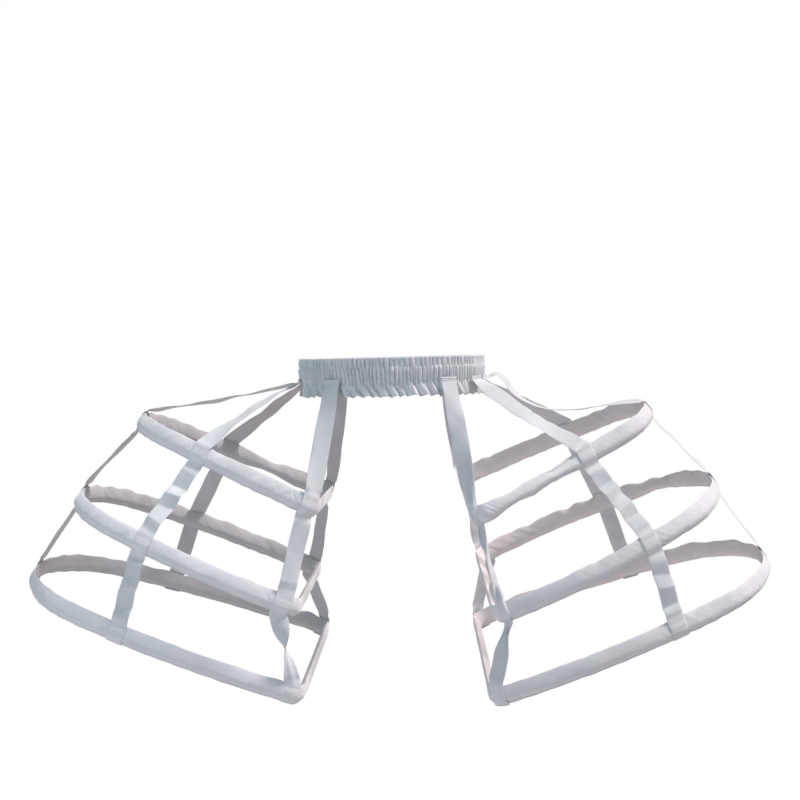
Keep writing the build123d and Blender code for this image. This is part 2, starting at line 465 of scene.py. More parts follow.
@dataclass(frozen=True)
class ClothFinish:
    """Plain white cotton with its weave, soft sheen and uneven tone, and the painted light and shade that
    the points' inner attribute picks.
    """

    name: str  # name of the material
    pale: Colour  # colour of the clean cloth
    dull: Colour  # colour of the duller patches
    thread: float  # distance from one thread to the next
    weave_depth: float  # depth of the weave
    crumple_depth: float  # depth of the soft crumples
    crumple_scale: float  # crumples to the metre
    roughness: float  # roughness of the cloth
    sheen: float  # strength of the soft sheen
    rib: float = 0.0  # share of the weave that runs across only, as in a tape
    hung: Colour = WHITE  # painted shade: tint of single cloth where it hangs free
    lit: Colour = (1.0, 0.92, 0.885)  # painted warm light: tint of the side turned to the body on the hip where light reaches it
    dim: Colour = (0.72, 0.7, 0.685)  # painted shade: tint of that side on the hip where no light reaches it
    crumple_detail: float = 4.0  # finer layers of the crumples
    patch_share: float = 0.4  # scale of the duller patches against the crumples
    patch_detail: float = 2.0  # finer layers of the patches
    patch_edges: tuple[float, float] = (0.38, 0.62)  # values between which a patch goes from dull to pale
    hollow_shade: Colour = (0.93, 0.93, 0.94)  # painted shade in the hollows between the threads
    thread_top: float = 0.8  # height of the weave from which a thread has no painted shade
    rough_range: float = 0.06  # how far the roughness differs either way
    sheen_roughness: float = 0.45  # roughness of the sheen
    gloss: float = 0.25  # strength of the mirror-like share

    def make(self) -> bpy.types.Material:
        """The material, with its nodes.

        Returns:
            The new material.
        """
        material = bpy.data.materials.new(self.name)
        tree = NodeTree(material)
        apart = tree.add("ShaderNodeSeparateXYZ")
        tree.join((tree.add("ShaderNodeUVMap", uv_map="cloth"), "UV"), apart, "Vector")
        along = tree.wave((apart, "X"), self.thread)
        across = tree.wave((apart, "Y"), self.thread)
        over = tree.math("MULTIPLY", along, across)
        weave = tree.math("ADD", over, tree.math("MULTIPLY", along, self.rib))
        place = tree.add("ShaderNodeTexCoord")
        crumple = tree.noise(place, self.crumple_scale, self.crumple_detail)
        patches = tree.noise(place, self.crumple_scale * self.patch_share, self.patch_detail)
        tone = tree.ramp(patches, *zip(self.patch_edges, (self.dull, self.pale)))
        # painted shade in the hollows of the weave
        threads = tree.ramp(weave, (0.0, self.hollow_shade), (self.thread_top, WHITE))
        # painted light and shade: a tint picked by the points' inner attribute, white where none is painted
        turned = tree.add("ShaderNodeAttribute", attribute_name="inner")
        stops = zip([shade.value for shade in PaintedShade], (WHITE, self.hung, self.lit, self.dim))
        colour = tree.tinted(tree.tinted(tone, threads), tree.ramp((turned, "Fac"), *stops))
        fine = tree.bump(weave, self.weave_depth, tree.bump(crumple, self.crumple_depth))
        rough = self.roughness - self.rough_range, self.roughness + self.rough_range
        tree.dress(colour, fine, crumple, *rough)
        sheen = {"Sheen Weight": self.sheen, "Sheen Roughness": self.sheen_roughness}
        tree.fix(tree.shader, {**sheen, "Specular IOR Level": self.gloss})
        return material


@dataclass(frozen=True)
class HiddenFinish:
    """Smooth finish of the parts inside the cloth, with a drawn or knitted grain."""

    name: str  # name of the material
    pale: Colour  # main colour
    dull: Colour  # colour of the grain
    grain: float  # grain lines to the metre
    roughness: float  # roughness of the surface
    metal: float = 0.0  # metalness, 0 or 1
    grain_detail: float = 3.0  # finer layers of the grain
    # values between which the grain goes from dull to pale
    grain_edges: tuple[float, float] = (0.35, 0.65)
    relief: float = 0.00015  # depth of the grain
    smoother: float = 0.05  # how much smoother the grain's hollows are
    rougher: float = 0.1  # how much rougher its tops are

    def make(self) -> bpy.types.Material:
        """The material, with its nodes.

        Returns:
            The new material.
        """
        material = bpy.data.materials.new(self.name)
        tree = NodeTree(material)
        grain = tree.noise(tree.add("ShaderNodeTexCoord"), self.grain, self.grain_detail)
        tone = tree.ramp(grain, *zip(self.grain_edges, (self.dull, self.pale)))
        relief = tree.bump(grain, self.relief)
        tree.dress(tone, relief, grain, self.roughness - self.smoother, self.roughness + self.rougher)
        tree.fix(tree.shader, {"Metallic": self.metal})
        return material


@dataclass
class Waistband:
    """Gathered waistband: a heading, a channel over the elastic and a frill."""

    half_width: float = 0.115  # half the width of the waist
    half_depth: float = 0.086  # half the depth of the waist
    top: float = 0.024  # height of the top edge
    upper_seam: float = 0.012  # height of the seam under the heading
    lower_seam: float = -0.006  # height of the seam under the channel
    hem: float = -0.024  # height of the frill's hem
    flat_length: float = 0.82  # length of its cloth, drawn out flat
    cloth: float = 0.0009  # thickness of the cloth
    gather_depth: float = 0.0031  # depth of the gathers
    gather_level: float = 0.7  # height of the gathers that counts as level cloth
    gather_fade: float = 2.4  # how soon the gathers end below the channel, against the frill's height
    heading_slant: float = 0.08  # how far the heading's gathers run sideways on their way up
    channel_slant: float = 0.05  # how far the channel's gathers run sideways on their way up
    least_fullness: float = 0.26  # how full the gathers are at the left hip
    # fullness added further round, and the angles where and over which it grows
    fullness_steps: tuple[tuple[float, float, float], ...] = ((0.74, 0.3, 1.0), (0.35, 1.3, 1.2))
    heading_flare: float = 0.0028  # how far the heading stands out
    channel_swell: float = 0.001  # how far the channel stands out over the elastic
    swell_powers: tuple[int, float] = (4, 0.6)  # powers of the outline that it has there
    seam_flare: float = 0.001  # how far the seam under the channel stands out
    seam_width: float = 0.0016  # height over which one row of gathers passes into the next
    seam_pinch: float = 0.4  # share of the gathers' depth that is left at a seam
    pinch_reach: float = 0.0022  # distance from a seam at which the gathers are full
    edge: float = 0.0012  # height of the pressed top edge
    edge_round: float = 0.0013  # height of its rounding
    edge_pinch: float = 0.3  # share of the gathers' depth that is left at the top edge
    edge_reach: float = 0.0026  # distance from the pressed edge at which the gathers are full
    bead: float = 0.0005  # height of the small bead along the top edge
    bead_width: float = 0.0006  # half its width
    frill_flare: float = 0.0026  # how far the hem stands out
    fold_depth: float = 0.0065  # depth of the frill's folds at the hem
    fold_slant: float = 0.5  # how far a fold runs sideways on its way down
    fold_power: float = 0.8  # power by which it deepens
    crease_depth: float = 0.0012  # depth of the fine creases under the seam
    crease_start: float = 3.0  # how soon they reach it, against the frill's height
    crease_end: float = 1.2  # share of the frill's height at which they would end
    hem_wave: float = 0.0026  # how far the hem is drawn up along the folds
    hem_wander: float = 0.0007  # how far the hem wanders besides
    channel_back: float = -0.0024  # offset of the channel's back from the waist line
    back_ripple: float = 0.0007  # depth of the gathers on the channel's back
    weave_stretch: float = 1.6  # length of cloth to a length of gathered band
    stitch_pitch: float = 0.0031  # distance between stitches
    stitch_lift: float = 0.0002  # height of the stitches over the cloth
    # distances of the heading's rows of points below the top edge
    heading_rows: tuple[float, ...] = (
        0.0, 0.0002, 0.0006, 0.0013, 0.0024, 0.004, 0.0058, 0.0076, 0.0092, 0.0104,
    )
    seam_step: float = 0.0007  # distance between the rows at a seam
    channel_gap: float = 0.0018  # distance of the channel's rows from its seams
    frill_gap: float = 0.002  # distance of the frill's rows from its seam
    heading_gap: float = 0.003  # distance of the heading's back rows from its seam
    hem_gap: float = 0.0001  # distance of the lowest back row from the hem
    outer_rows: tuple[int, int] = (11, 13)  # rows of points on the channel and the frill
    # rows of points on the back of the frill, the channel and the heading
    inner_rows: tuple[int, int, int] = (8, 6, 4)
    columns: int = 1500  # points round the band
    line_points: int = 4001  # points by which the waist line is measured

    def __post_init__(self) -> None:
        """Measures the line of the waist and settles its gathers."""
        self.angles = np.linspace(0.0, 2 * pi, self.line_points)
        self.distances = lengths_along(self.line(self.angles))
        self.length = float(self.distances[-1])
        drawn = {"length": self.length, "roundness": 0.45, "floor": 0.3}
        self.heading_gathers = Gathers(seed=11, pitch=0.0052, unevenness=0.4, **drawn)
        self.channel_gathers = Gathers(seed=12, pitch=0.0047, unevenness=0.35, **drawn)
        folded = {"roundness": 0.95, "lean": 0.6}
        self.frill_folds = Gathers(seed=13, length=self.length, pitch=0.0128, unevenness=0.35, **folded)
        self.frill_creases = Gathers(seed=14, length=self.length, pitch=0.0061, unevenness=0.5)
        self.hem_drift = Drift(seed=21, slowest=5, fastest=23)

    def line(self, angles: Array) -> Array:
        """Points of the waist line at angles round it."""
        flat = self.half_width * np.cos(angles), self.half_depth * np.sin(angles)
        return np.stack([*flat, np.zeros_like(angles)], -1)

    def outward(self, angles: Array) -> Array:
        """Directions straight out of the waist at angles of its line."""
        flat = np.stack([self.half_depth * np.cos(angles), self.half_width * np.sin(angles)], -1)
        return np.concatenate([unit(flat), np.zeros_like(flat[..., :1])], -1)

    def place(self, angles: Array, offsets: Array, heights: Array) -> Array:
        """Points beside the waist line.

        Args:
            angles: Angles of the line.
            offsets: Distances out of the line.
            heights: Heights above it.

        Returns:
            The points.
        """
        points = self.line(angles) + self.outward(angles) * offsets[..., None]
        points[..., 2] += heights
        return points

    def angle_at(self, distances: Array) -> Array:
        """Angles of the waist line at distances round it."""
        return np.interp(distances, self.distances, self.angles)

    def frill_depth(self, heights: Array) -> Array:
        """Share of the way from the channel down to the hem."""
        return np.clip((self.lower_seam - heights) / (self.lower_seam - self.hem), 0.0, 1.0)

    def fullness(self, angles: Array) -> Array:
        """How tightly the band is gathered: less towards the wearer's left hip.

        Args:
            angles: Angles of the waist line.

        Returns:
            Shares of the full depth.
        """
        away = np.abs(np.mod(angles + pi, 2 * pi) - pi)
        full = np.full_like(away, self.least_fullness)
        for added, start, width in self.fullness_steps:
            full = full + added * ease((away - start) / width)
        return full

    def profile(self, heights: Array) -> Array:
        """Offset of the outer skin without its gathers: the swell of the channel, the flares and the bead.

        Args:
            heights: Heights on the band.

        Returns:
            Offsets out of the waist line.
        """
        middle = (self.upper_seam + self.lower_seam) / 2
        half = (self.upper_seam - self.lower_seam) / 2
        share = np.clip(np.abs(heights - middle) / half, 0.0, 1.0)
        swell = self.channel_swell * (1.0 - share ** self.swell_powers[0]) ** self.swell_powers[1]
        climb = ease((heights - self.lower_seam) / (self.upper_seam - self.lower_seam))
        flare = self.seam_flare + (self.heading_flare - self.seam_flare) * climb
        flare = flare + (self.frill_flare - self.seam_flare) * self.frill_depth(heights)
        bead = self.bead * np.exp(-(((self.top - heights - self.cloth) / self.bead_width) ** 2))
        return self.cloth + swell + flare + bead

    def gathered(self, distances: Array, heights: Array) -> Array:
        """Depth of the gathers in the heading and the channel, drawn in at the seams and the top edge.

        Args:
            distances: Distances round the waist.
            heights: Heights on the band.

        Returns:
            Offsets where the band is fully gathered.
        """
        heading = self.heading_gathers.at(distances + self.heading_slant * (heights - self.upper_seam))
        channel = self.channel_gathers.at(distances + self.channel_slant * (heights - self.lower_seam))
        in_channel = ease((self.upper_seam + self.seam_width / 4 - heights) / self.seam_width)
        gathers = heading * (1.0 - in_channel) + channel * in_channel
        near_seam = np.minimum(np.abs(heights - self.upper_seam), np.abs(heights - self.lower_seam))
        pinch = self.seam_pinch + (1.0 - self.seam_pinch) * ease(near_seam / self.pinch_reach)
        from_edge = ease((self.top - heights - self.edge) / self.edge_reach)
        pinch = pinch * (self.edge_pinch + (1.0 - self.edge_pinch) * from_edge)
        fade = 1.0 - ease(self.frill_depth(heights) * self.gather_fade)
        return self.gather_depth * (gathers - self.gather_level) * pinch * fade

    def frilled(self, distances: Array, heights: Array) -> Array:
        """Depth of the frill's slanting folds and of the creases under its seam.

        Args:
            distances: Distances round the waist.
            heights: Heights on the band.

        Returns:
            Offsets where the band is fully gathered.
        """
        depth = self.frill_depth(heights)
        shifted = distances - self.fold_slant * np.maximum(self.lower_seam - heights, 0.0)
        folds = self.fold_depth * (self.frill_folds.at(shifted) - 0.5) * depth**self.fold_power
        creases = self.crease_depth * (self.frill_creases.at(shifted) - 0.5)
        return folds + creases * ease(depth * self.crease_start) * (self.crease_end - depth)

    def front_offsets(self, distances: Array, heights: Array) -> Array:
        """Offsets of the outer skin from the waist line, at distances round it and heights on the band."""
        folded = self.gathered(distances, heights) + self.frilled(distances, heights)
        return self.profile(heights) + self.fullness(self.angle_at(distances)) * folded

    def hem_rise(self, distances: Array, heights: Array) -> Array:
        """How far the frill is drawn up along its folds, most at the hem.

        Args:
            distances: Distances round the waist.
            heights: Heights on the band.

        Returns:
            Distances upwards.
        """
        shifted = distances - self.fold_slant * (self.lower_seam - self.hem)
        rise = self.hem_wave * (self.frill_folds.at(shifted) - 0.5)
        rise = rise + self.hem_wander * self.hem_drift.at(distances / self.length)
        return rise * self.frill_depth(heights) ** 2

    def skin(self, distances: Array, heights: Array, offsets: Array) -> Array:
        """Points of a skin at distances round the waist, heights on the band and offsets out of it."""
        return self.place(self.angle_at(distances), offsets, heights + self.hem_rise(distances, heights))

    def outer_skin(self, turns: Array) -> tuple[Array, Array]:
        """The outer skin, from the top edge down to the hem.

        Args:
            turns: Distances round the waist of the columns of points.

        Returns:
            The points, and their cloth coordinates.
        """
        seam = np.array([self.seam_step, 0.0, -self.seam_step])
        channel = self.upper_seam - self.channel_gap, self.lower_seam + self.channel_gap
        rows = np.concatenate([
            self.top - np.array(self.heading_rows),
            self.upper_seam + seam,
            np.linspace(*channel, self.outer_rows[0]),
            self.lower_seam + seam,
            np.linspace(self.lower_seam - self.frill_gap, self.hem, self.outer_rows[1]),
        ])
        distances, heights = np.meshgrid(turns, rows)
        rounding = 1.0 - np.sqrt(np.clip((self.top - heights) / self.edge_round, 0.0, 1.0))
        points = self.skin(distances, heights, self.front_offsets(distances, heights))
        points -= self.outward(self.angle_at(distances)) * (self.cloth * rounding)[..., None]
        return points, np.stack([distances * self.weave_stretch, self.top - heights], -1)

    def inner_skin(self, turns: Array) -> tuple[Array, Array]:
        """The back of the cloth, from the hem up to the top edge.

        Args:
            turns: Distances round the waist of the columns of points.

        Returns:
            The points, and their cloth coordinates.
        """
        bounds = (
            (self.hem + self.hem_gap, self.lower_seam - self.frill_gap),
            (self.lower_seam, self.upper_seam),
            (self.upper_seam + self.heading_gap, self.top - self.edge),
        )
        rows = np.concatenate([np.linspace(*ends, count) for ends, count in zip(bounds, self.inner_rows)])
        distances, heights = np.meshgrid(turns, rows)
        front = self.front_offsets(distances, heights)
        frilled = ease((self.lower_seam + self.frill_gap - heights) / (2 * self.frill_gap))
        below = (self.upper_seam + self.heading_gap - heights) / (self.heading_gap + self.frill_gap)
        channelled = ease(below) * (1.0 - frilled)
        ripple = self.back_ripple * (self.channel_gathers.at(distances) - 0.5)
        back = (front - 2 * self.cloth) * (1.0 - channelled) + (self.channel_back + ripple) * channelled
        back = back * (1.0 - frilled) + (front - self.cloth) * frilled
        cloth = np.stack([distances * self.weave_stretch, self.top - 2 * self.hem + heights], -1)
        return self.skin(distances, heights, back), cloth

    def build(self) -> bpy.types.Object:
        """The band as one closed cloth.

        Returns:
            The finished piece.
        """
        turns = np.arange(self.columns) / self.columns * self.length
        outer, outer_cloth = self.outer_skin(turns)
        inner, inner_cloth = self.inner_skin(turns)
        # painted shade on the back of the cloth
        shades = np.repeat([PaintedShade.SEWN.value, PaintedShade.DIM.value], [len(outer), len(inner)])[:, None]
        mesh = GridMesh("waistband")
        cloth = np.concatenate([outer_cloth, inner_cloth])
        mesh.add_grid(np.concatenate([outer, inner]), cloth, shades, True)
        return mesh.make()

    def stitches(self, height: float) -> tuple[Array, Array]:
        """Ends of the stitches along a seam.

        Args:
            height: Height of the seam.

        Returns:
            Ends, stitches by 2 by 3, and the outward directions.
        """
        ends = Stitching.spans(self.length, self.stitch_pitch)
        heights = np.full_like(ends, height)
        points = self.skin(ends, heights, self.front_offsets(ends, heights))
        outward = self.outward(self.angle_at(ends.mean(1)))
        return points + outward[:, None] * self.stitch_lift, outward


@dataclass(frozen=True)
class HoopSize:
    """Sizes of one D-shaped hoop, the same on both hips."""

    hip_gap: float  # distance of the hip run from the middle
    drop: float  # distance of the hip run below the waist
    reach: float  # distance from the hip run to the tip
    half_depth: float  # half the depth from front to back
    run_radius: float  # radius of the wide bend of the front and back runs
    tip_radius: float  # radius of the tip
    rise_deg: float  # angle by which it rises outwards
    corner_radius: float = 0.016  # radius of the corners at the hip


@dataclass
class HoopLine:
    """Line of one hoop, from the middle of its hip run round the tip and back."""

    side: Side  # the hip that it hangs on
    level: Level  # its place from the waist down
    size: HoopSize  # its sizes
    hang_deg: float  # angle by which its back hangs higher than its front
    run_points: int = 200  # points on half the hip run
    bend_points: int = 300  # points on each bend

    def __post_init__(self) -> None:
        """Draws the line finely and measures it."""
        size = self.size
        corner = np.array([size.corner_radius, size.half_depth - size.corner_radius])
        tip = np.array([size.reach - size.tip_radius, 0.0])
        between = tip - corner
        span = hypot(*between)
        to_corner = size.run_radius - size.corner_radius
        to_tip = size.run_radius - size.tip_radius
        along = (to_corner**2 - to_tip**2 + span**2) / (2 * span)
        across = sqrt(to_corner**2 - along**2)
        middle = corner + between / span * along + np.array([between[1], -between[0]]) / span * across
        start = atan2(*(corner - middle)[::-1])
        end = atan2(*(tip - middle)[::-1])
        hip = np.stack([np.zeros(self.run_points), np.linspace(0.0, corner[1], self.run_points)], -1)
        parts = [
            (hip, np.tile([-1.0, 0.0], (self.run_points, 1)), 0.0),
            self.bend(corner, size.corner_radius, pi, start),
            self.bend(middle, size.run_radius, start, end),
            self.bend(tip, size.tip_radius, end, 0.0),
        ]
        points = np.concatenate([part[0][:-1] for part in parts])
        normals = np.concatenate([part[1][:-1] for part in parts])
        curves = np.concatenate([np.full(len(part[0]) - 1, part[2]) for part in parts])
        flip = np.array([1.0, -1.0])
        self.flat = np.concatenate([points, [[size.reach, 0.0]], points[:0:-1] * flip, points[:1]])
        self.normals = np.concatenate([normals, [[1.0, 0.0]], normals[:0:-1] * flip, normals[:1]])
        self.curves = np.concatenate([curves, curves[-1:], curves[:0:-1], curves[:1]])
        self.distances = lengths_along(self.flat)
        self.length = float(self.distances[-1])

    def bend(self, centre: Array, radius: float, start: float, end: float) -> tuple[Array, Array, float]:
        """An arc between two angles.

        Args:
            centre: Its centre.
            radius: Its radius.
            start: Angle where it starts.
            end: Angle where it ends.

        Returns:
            Points, normals and curve of the arc.
        """
        angles = np.linspace(start, end, self.bend_points)
        normals = np.stack([np.cos(angles), np.sin(angles)], -1)
        return centre + normals * radius, normals, 1.0 / radius

    def axes(self) -> tuple[Array, Array, Array, Array]:
        """The hoop's plane.

        Returns:
            Its origin, and its outward, backward and upward directions.
        """
        hip = self.side.value
        rise, hang = radians(self.size.rise_deg), radians(self.hang_deg)
        outward = np.array([hip * cos(rise), 0.0, sin(rise)])
        backward = np.array([0.0, cos(hang), sin(hang)])
        upward = unit(np.cross(outward, backward) * hip)
        origin = np.array([hip * self.size.hip_gap, 0.0, -self.size.drop])
        return origin, outward, np.cross(upward, outward), upward

    def at(self, distances: Array) -> tuple[Array, Array, Array, Array]:
        """Places along the line.

        Args:
            distances: Distances along the line; they may pass its end.

        Returns:
            Points, outward normals, upward directions, and the curve of the line there.
        """
        held = np.mod(distances, self.length)
        origin, outward, beside, upward = self.axes()
        flat = vectors_at(held, self.distances, self.flat)
        normal = unit(vectors_at(held, self.distances, self.normals))
        curve = np.interp(held, self.distances, self.curves)
        points = origin + flat[..., :1] * outward + flat[..., 1:] * beside
        normals = normal[..., :1] * outward + normal[..., 1:] * beside
        return points, normals, np.broadcast_to(upward, points.shape), curve

    def crossing(self, facing: Facing, share: float) -> float:
        """Distance along the line where a tape crosses at a share of the way to the tip."""
        way = share / 2 * self.length
        return way if facing.value * self.side.value > 0 else self.length - way


@dataclass(frozen=True)
class Pinch:
    """A stretch where a sleeve's cloth is drawn tight round the bone."""

    facing: Facing  # the half of the hoop that it lies on
    share: float  # its middle, as a share of the way to the tip
    half_length: float  # half its length
    tilt_deg: float  # angle by which the sleeve is tilted there


@dataclass
class Sleeve:
    """Soft cloth tube round a flat bone, with a stitched lip along its lower edge."""

    line: HoopLine  # the hoop that it follows
    crossings: list[float]  # distances along the hoop where tapes are sewn over it
    seed: int  # number that settles its unevenness
    pinches: tuple[Pinch, ...] = ()  # stretches where the cloth is drawn tight round the bone
    inner_shade: float = PaintedShade.DIM.value  # painted shade of its inner side
    half_height: float = 0.0119  # half the height of the tube
    half_thickness: float = 0.005  # half its thickness where it is fullest
    fullest: float = -0.2  # where it is fullest, as a share of the half height
    upper_powers: tuple[float, float] = (1.3, 0.75)  # powers of the outline above there
    lip: float = 0.0024  # height of the stitched lip
    lip_thickness: float = 0.0007  # half the thickness of the lip
    lip_power: int = 40  # power of the lip's outline
    cloth: float = 0.0004  # thickness of the cloth
    flat_share: float = 4.3  # width of its flat cloth against the half height
    pressed_half: float = 0.008  # half the length that a tape presses flat
    pressed_fade: float = 0.02  # length over which the press wears off
    pressed_share: float = 0.12  # share of the thickness that a press takes away
    drawn_share: float = 0.36  # share of the height that a pinch takes away
    front_slack: float = 0.25  # share of the top edge's slack along the front run
    slack_start: float = 0.4  # how early the slack grows on its way to the back
    hip_half: float = 0.09  # half the length of the calm stretch on the hip run
    hip_fade: float = 0.05  # length over which the calm wears off
    hip_calm: float = 0.15  # share of the unevenness that is left on the hip run
    tall_wander: float = 0.03  # how far the height wanders, as a share
    thick_wander: float = 0.16  # how far the thickness wanders, as a share
    ripple_depth: float = 0.00022  # depth of the slanting ripples
    ripple_slant: float = 0.014  # how far they slant, in turns
    crumple_depth: float = 0.00008  # depth of the fine crumples
    crumple_slant: float = 0.012  # how far these slant the other way, in turns
    pressed_crumple: float = 0.0003  # depth of the crumples beside a tape
    edge_wander: float = 0.0004  # how far the whole tube wanders up and down
    edge_slack: float = 0.0015  # how far the loose top edge wanders
    edge_start: float = 0.1  # share of the half height from which the top edge is loose
    roll_deg: float = 5.0  # angle by which the tube rolls to and fro
    stitch_pitch: float = 0.0034  # distance between stitches
    stitch_share: float = 0.55  # place of the stitches on the lip, as a share of its height
    stitch_lift: float = 0.00015  # height of the stitches over the cloth
    rows: int = 720  # points along the hoop
    half_points: int = 18  # points up each face
    inside_rows: int = 240  # points along the hoop on the inside
    inside_half_points: int = 7  # points up each face on the inside
    inside_scale: float = 0.9  # height of the inside against the outside

    def name(self) -> str:
        """Name of the sleeve's solid."""
        return f"{self.line.side.name.lower()}_{self.line.level.value}_sleeve"

    def piece_name(self) -> str:
        """Name of the soft sleeve."""
        return f"{self.name()}_cloth"

    def away(self, distances: Array, place: float) -> Array:
        """Distances along the hoop from a place on it."""
        half = self.line.length / 2
        return np.abs(np.mod(distances - place + half, self.line.length) - half)

    def wander(self, turns: Array, number: int, slowest: int, fastest: int) -> Array:
        """One of the sleeve's own unevennesses, by its number and its waves in a turn."""
        return Drift(self.seed + number, slowest, fastest).at(turns)

    def pressed(self, distances: Array) -> Array:
        """How near each place is to a tape sewn over it.

        Args:
            distances: Distances along the hoop.

        Returns:
            Shares from 0 to 1.
        """
        near = np.zeros_like(distances)
        for crossing in self.crossings:
            beyond = self.away(distances, crossing) - self.pressed_half
            near = np.maximum(near, 1.0 - ease(beyond / self.pressed_fade))
        return near

    def slackness(self, distances: Array) -> Array:
        """How loosely the top edge lies, least along the front run."""
        backward = np.sin(2 * pi * distances / self.line.length) * self.line.side.value
        return self.front_slack + (1.0 - self.front_slack) * ease(backward + self.slack_start)

    def calmness(self, distances: Array) -> Array:
        """Share of the unevenness that is left, least on the hip run."""
        beyond = self.away(distances, 0.0) - self.hip_half
        return self.hip_calm + (1.0 - self.hip_calm) * ease(beyond / self.hip_fade)

    def drawn(self, distances: Array) -> tuple[Array, Array]:
        """How the cloth is drawn round the bone.

        Args:
            distances: Distances along the hoop.

        Returns:
            How tightly it is drawn, from 0 to 1, and its tilt there.
        """
        tight = np.zeros_like(distances)
        tilt = np.zeros_like(distances)
        for pinch in self.pinches:
            middle = self.line.crossing(pinch.facing, pinch.share)
            near = 1.0 - ease(self.away(distances, middle) / pinch.half_length)
            tight = np.maximum(tight, near)
            tilt = tilt + radians(pinch.tilt_deg) * near
        return tight, tilt

    def profile(self, shares: Array, thick: Array) -> Array:
        """Half the thickness of the tube: round at its fullest, thin above, with the flat lip below.

        Args:
            shares: Shares of the half height, from -1 at the lip to 1.
            thick: Half the thickness where it is fullest.

        Returns:
            Half the thickness at those shares.
        """
        above = np.clip((shares - self.fullest) / (1.0 - self.fullest), 0.0, 1.0)
        to_lip = self.fullest + 1.0 - self.lip / self.half_height
        below = np.clip((self.fullest - shares) / to_lip, 0.0, 1.0)
        slope, crest = self.upper_powers
        swell = thick * (1.0 - above**slope) ** crest * np.sqrt(1.0 - below**2)
        lip = self.lip_thickness * np.sqrt(np.clip(1.0 - np.abs(shares) ** self.lip_power, 0.0, 1.0))
        return np.where(shares < 0, np.maximum(swell, lip), swell)

    def section(self, distances: Array, shares: Array, face: int) -> tuple[Array, Array]:
        """Offsets out of the hoop's line and up from it.

        Args:
            distances: Distances along the hoop.
            shares: Shares of the half height, from -1 at the lip to 1.
            face: 1 for the outer face, -1 for the hip side.

        Returns:
            Offsets outwards and upwards.
        """
        turns = distances / self.line.length
        calm = self.calmness(distances)
        pressed = self.pressed(distances)
        tight, tilt = self.drawn(distances)
        thick = self.half_thickness * (1.0 + self.thick_wander * calm * self.wander(turns, 1, 4, 18))
        outward = face * self.profile(shares, thick * (1.0 - self.pressed_share * pressed))
        ripple = self.wander(turns + self.ripple_slant * shares, 2, 20, 70)
        crumple = self.wander(turns - self.crumple_slant * shares * face, 3, 60, 140)
        crumple = crumple * (self.crumple_depth + self.pressed_crumple * np.sin(pi * pressed))
        puckers = (self.ripple_depth * ripple + crumple) * np.clip(1.0 - shares**4, 0.0, 1.0)
        outward = outward + face * calm * puckers
        tall = self.half_height * (1.0 + self.tall_wander * calm * self.wander(turns, 0, 3, 14))
        tall = tall * (1.0 - self.drawn_share * tight)
        upward = tall * shares + self.edge_wander * calm * self.wander(turns, 4, 8, 60)
        loose = ease((shares - self.edge_start) / (1.0 - self.edge_start))
        slack = self.edge_slack * calm * self.slackness(distances) * loose
        upward = upward + slack * self.wander(turns, 6, 9, 38)
        roll = radians(self.roll_deg) * calm * (1.0 - pressed) * self.wander(turns, 5, 2, 9) + tilt
        rolled = outward * np.cos(roll) - upward * np.sin(roll)
        return rolled, upward * np.cos(roll) + outward * np.sin(roll)

    def surface(self, distances: Array, shares: Array, face: int, lift: float) -> Array:
        """Points of one face.

        Args:
            distances: Distances along the hoop.
            shares: Shares of the half height.
            face: 1 for the outer face, -1 for the hip side.
            lift: Distance off the face.

        Returns:
            The points.
        """
        points, normals, upwards, _ = self.line.at(distances)
        outward, upward = self.section(distances, shares, face)
        return points + normals * (outward + face * lift)[..., None] + upwards * upward[..., None]

    def build(self) -> bpy.types.Object:
        """The tube, with its inside.

        Returns:
            The finished piece.
        """
        mesh = GridMesh(self.piece_name())
        self.add_skin(mesh, self.rows, self.half_points)
        self.add_skin(mesh, self.inside_rows, self.inside_half_points, self.inside_scale, -self.cloth)
        return mesh.make()

    def add_skin(
        self, mesh: GridMesh, rows: int, half_points: int, scale: float = 1.0, lift: float = 0.0
    ) -> None:
        """Adds one skin of the tube.

        Args:
            mesh: Mesh that takes the skin.
            rows: Points along the hoop.
            half_points: Points up each face.
            scale: Height of the skin against the outer one.
            lift: Distance off the outer one.
        """
        along = np.arange(rows) / rows * self.line.length
        heights = np.sin(np.linspace(-pi / 2, pi / 2, half_points)) * scale
        distances, shares = np.meshgrid(along, heights, indexing="ij")
        outer = self.surface(distances, shares, 1, lift)
        inner = self.surface(distances[:, 1:-1], shares[:, -2:0:-1], -1, lift)
        grid = np.concatenate([outer, inner], 1)
        round_it = np.linspace(0.0, 4 * self.half_height, grid.shape[1])
        cloth = np.stack(np.meshgrid(along, round_it, indexing="ij"), -1)
        # painted light or shade on the face towards the hip, none on the outer face
        shades = np.repeat([PaintedShade.SEWN.value, self.inner_shade], [outer.shape[1], inner.shape[1]])
        mesh.add_grid(grid, cloth, shades, True)

    def stitches(self) -> tuple[Array, Array]:
        """Ends of the stitches along the lip.

        Returns:
            Ends, stitches by 2 by 3, and the directions out of the face.
        """
        ends = Stitching.spans(self.line.length, self.stitch_pitch)
        shares = np.full_like(ends, -1.0 + self.stitch_share * self.lip / self.half_height)
        _, normals, _, _ = self.line.at(ends.mean(1))
        return self.surface(ends, shares, 1, self.stitch_lift), normals


@dataclass
class Touch:
    """A point that a tape passes, and how it lies there."""

    point: Array  # middle of the tape
    across: Array  # direction of its width
    outward: Array  # direction out of what it lies on
    curve: float = 0.0  # how tightly it is bent across its width
    lean_deg: float = 0.0  # angle by which it is turned on its own line
    is_sewn: bool = True  # whether it is sewn down there


@dataclass(frozen=True)
class Bunch:
    """A place where a tape is drawn together across its width."""

    level: Level  # the hoop that it is near
    below: float  # its distance below that hoop's sleeve
    half_length: float  # half its length
    share: float  # share of the width that is drawn in


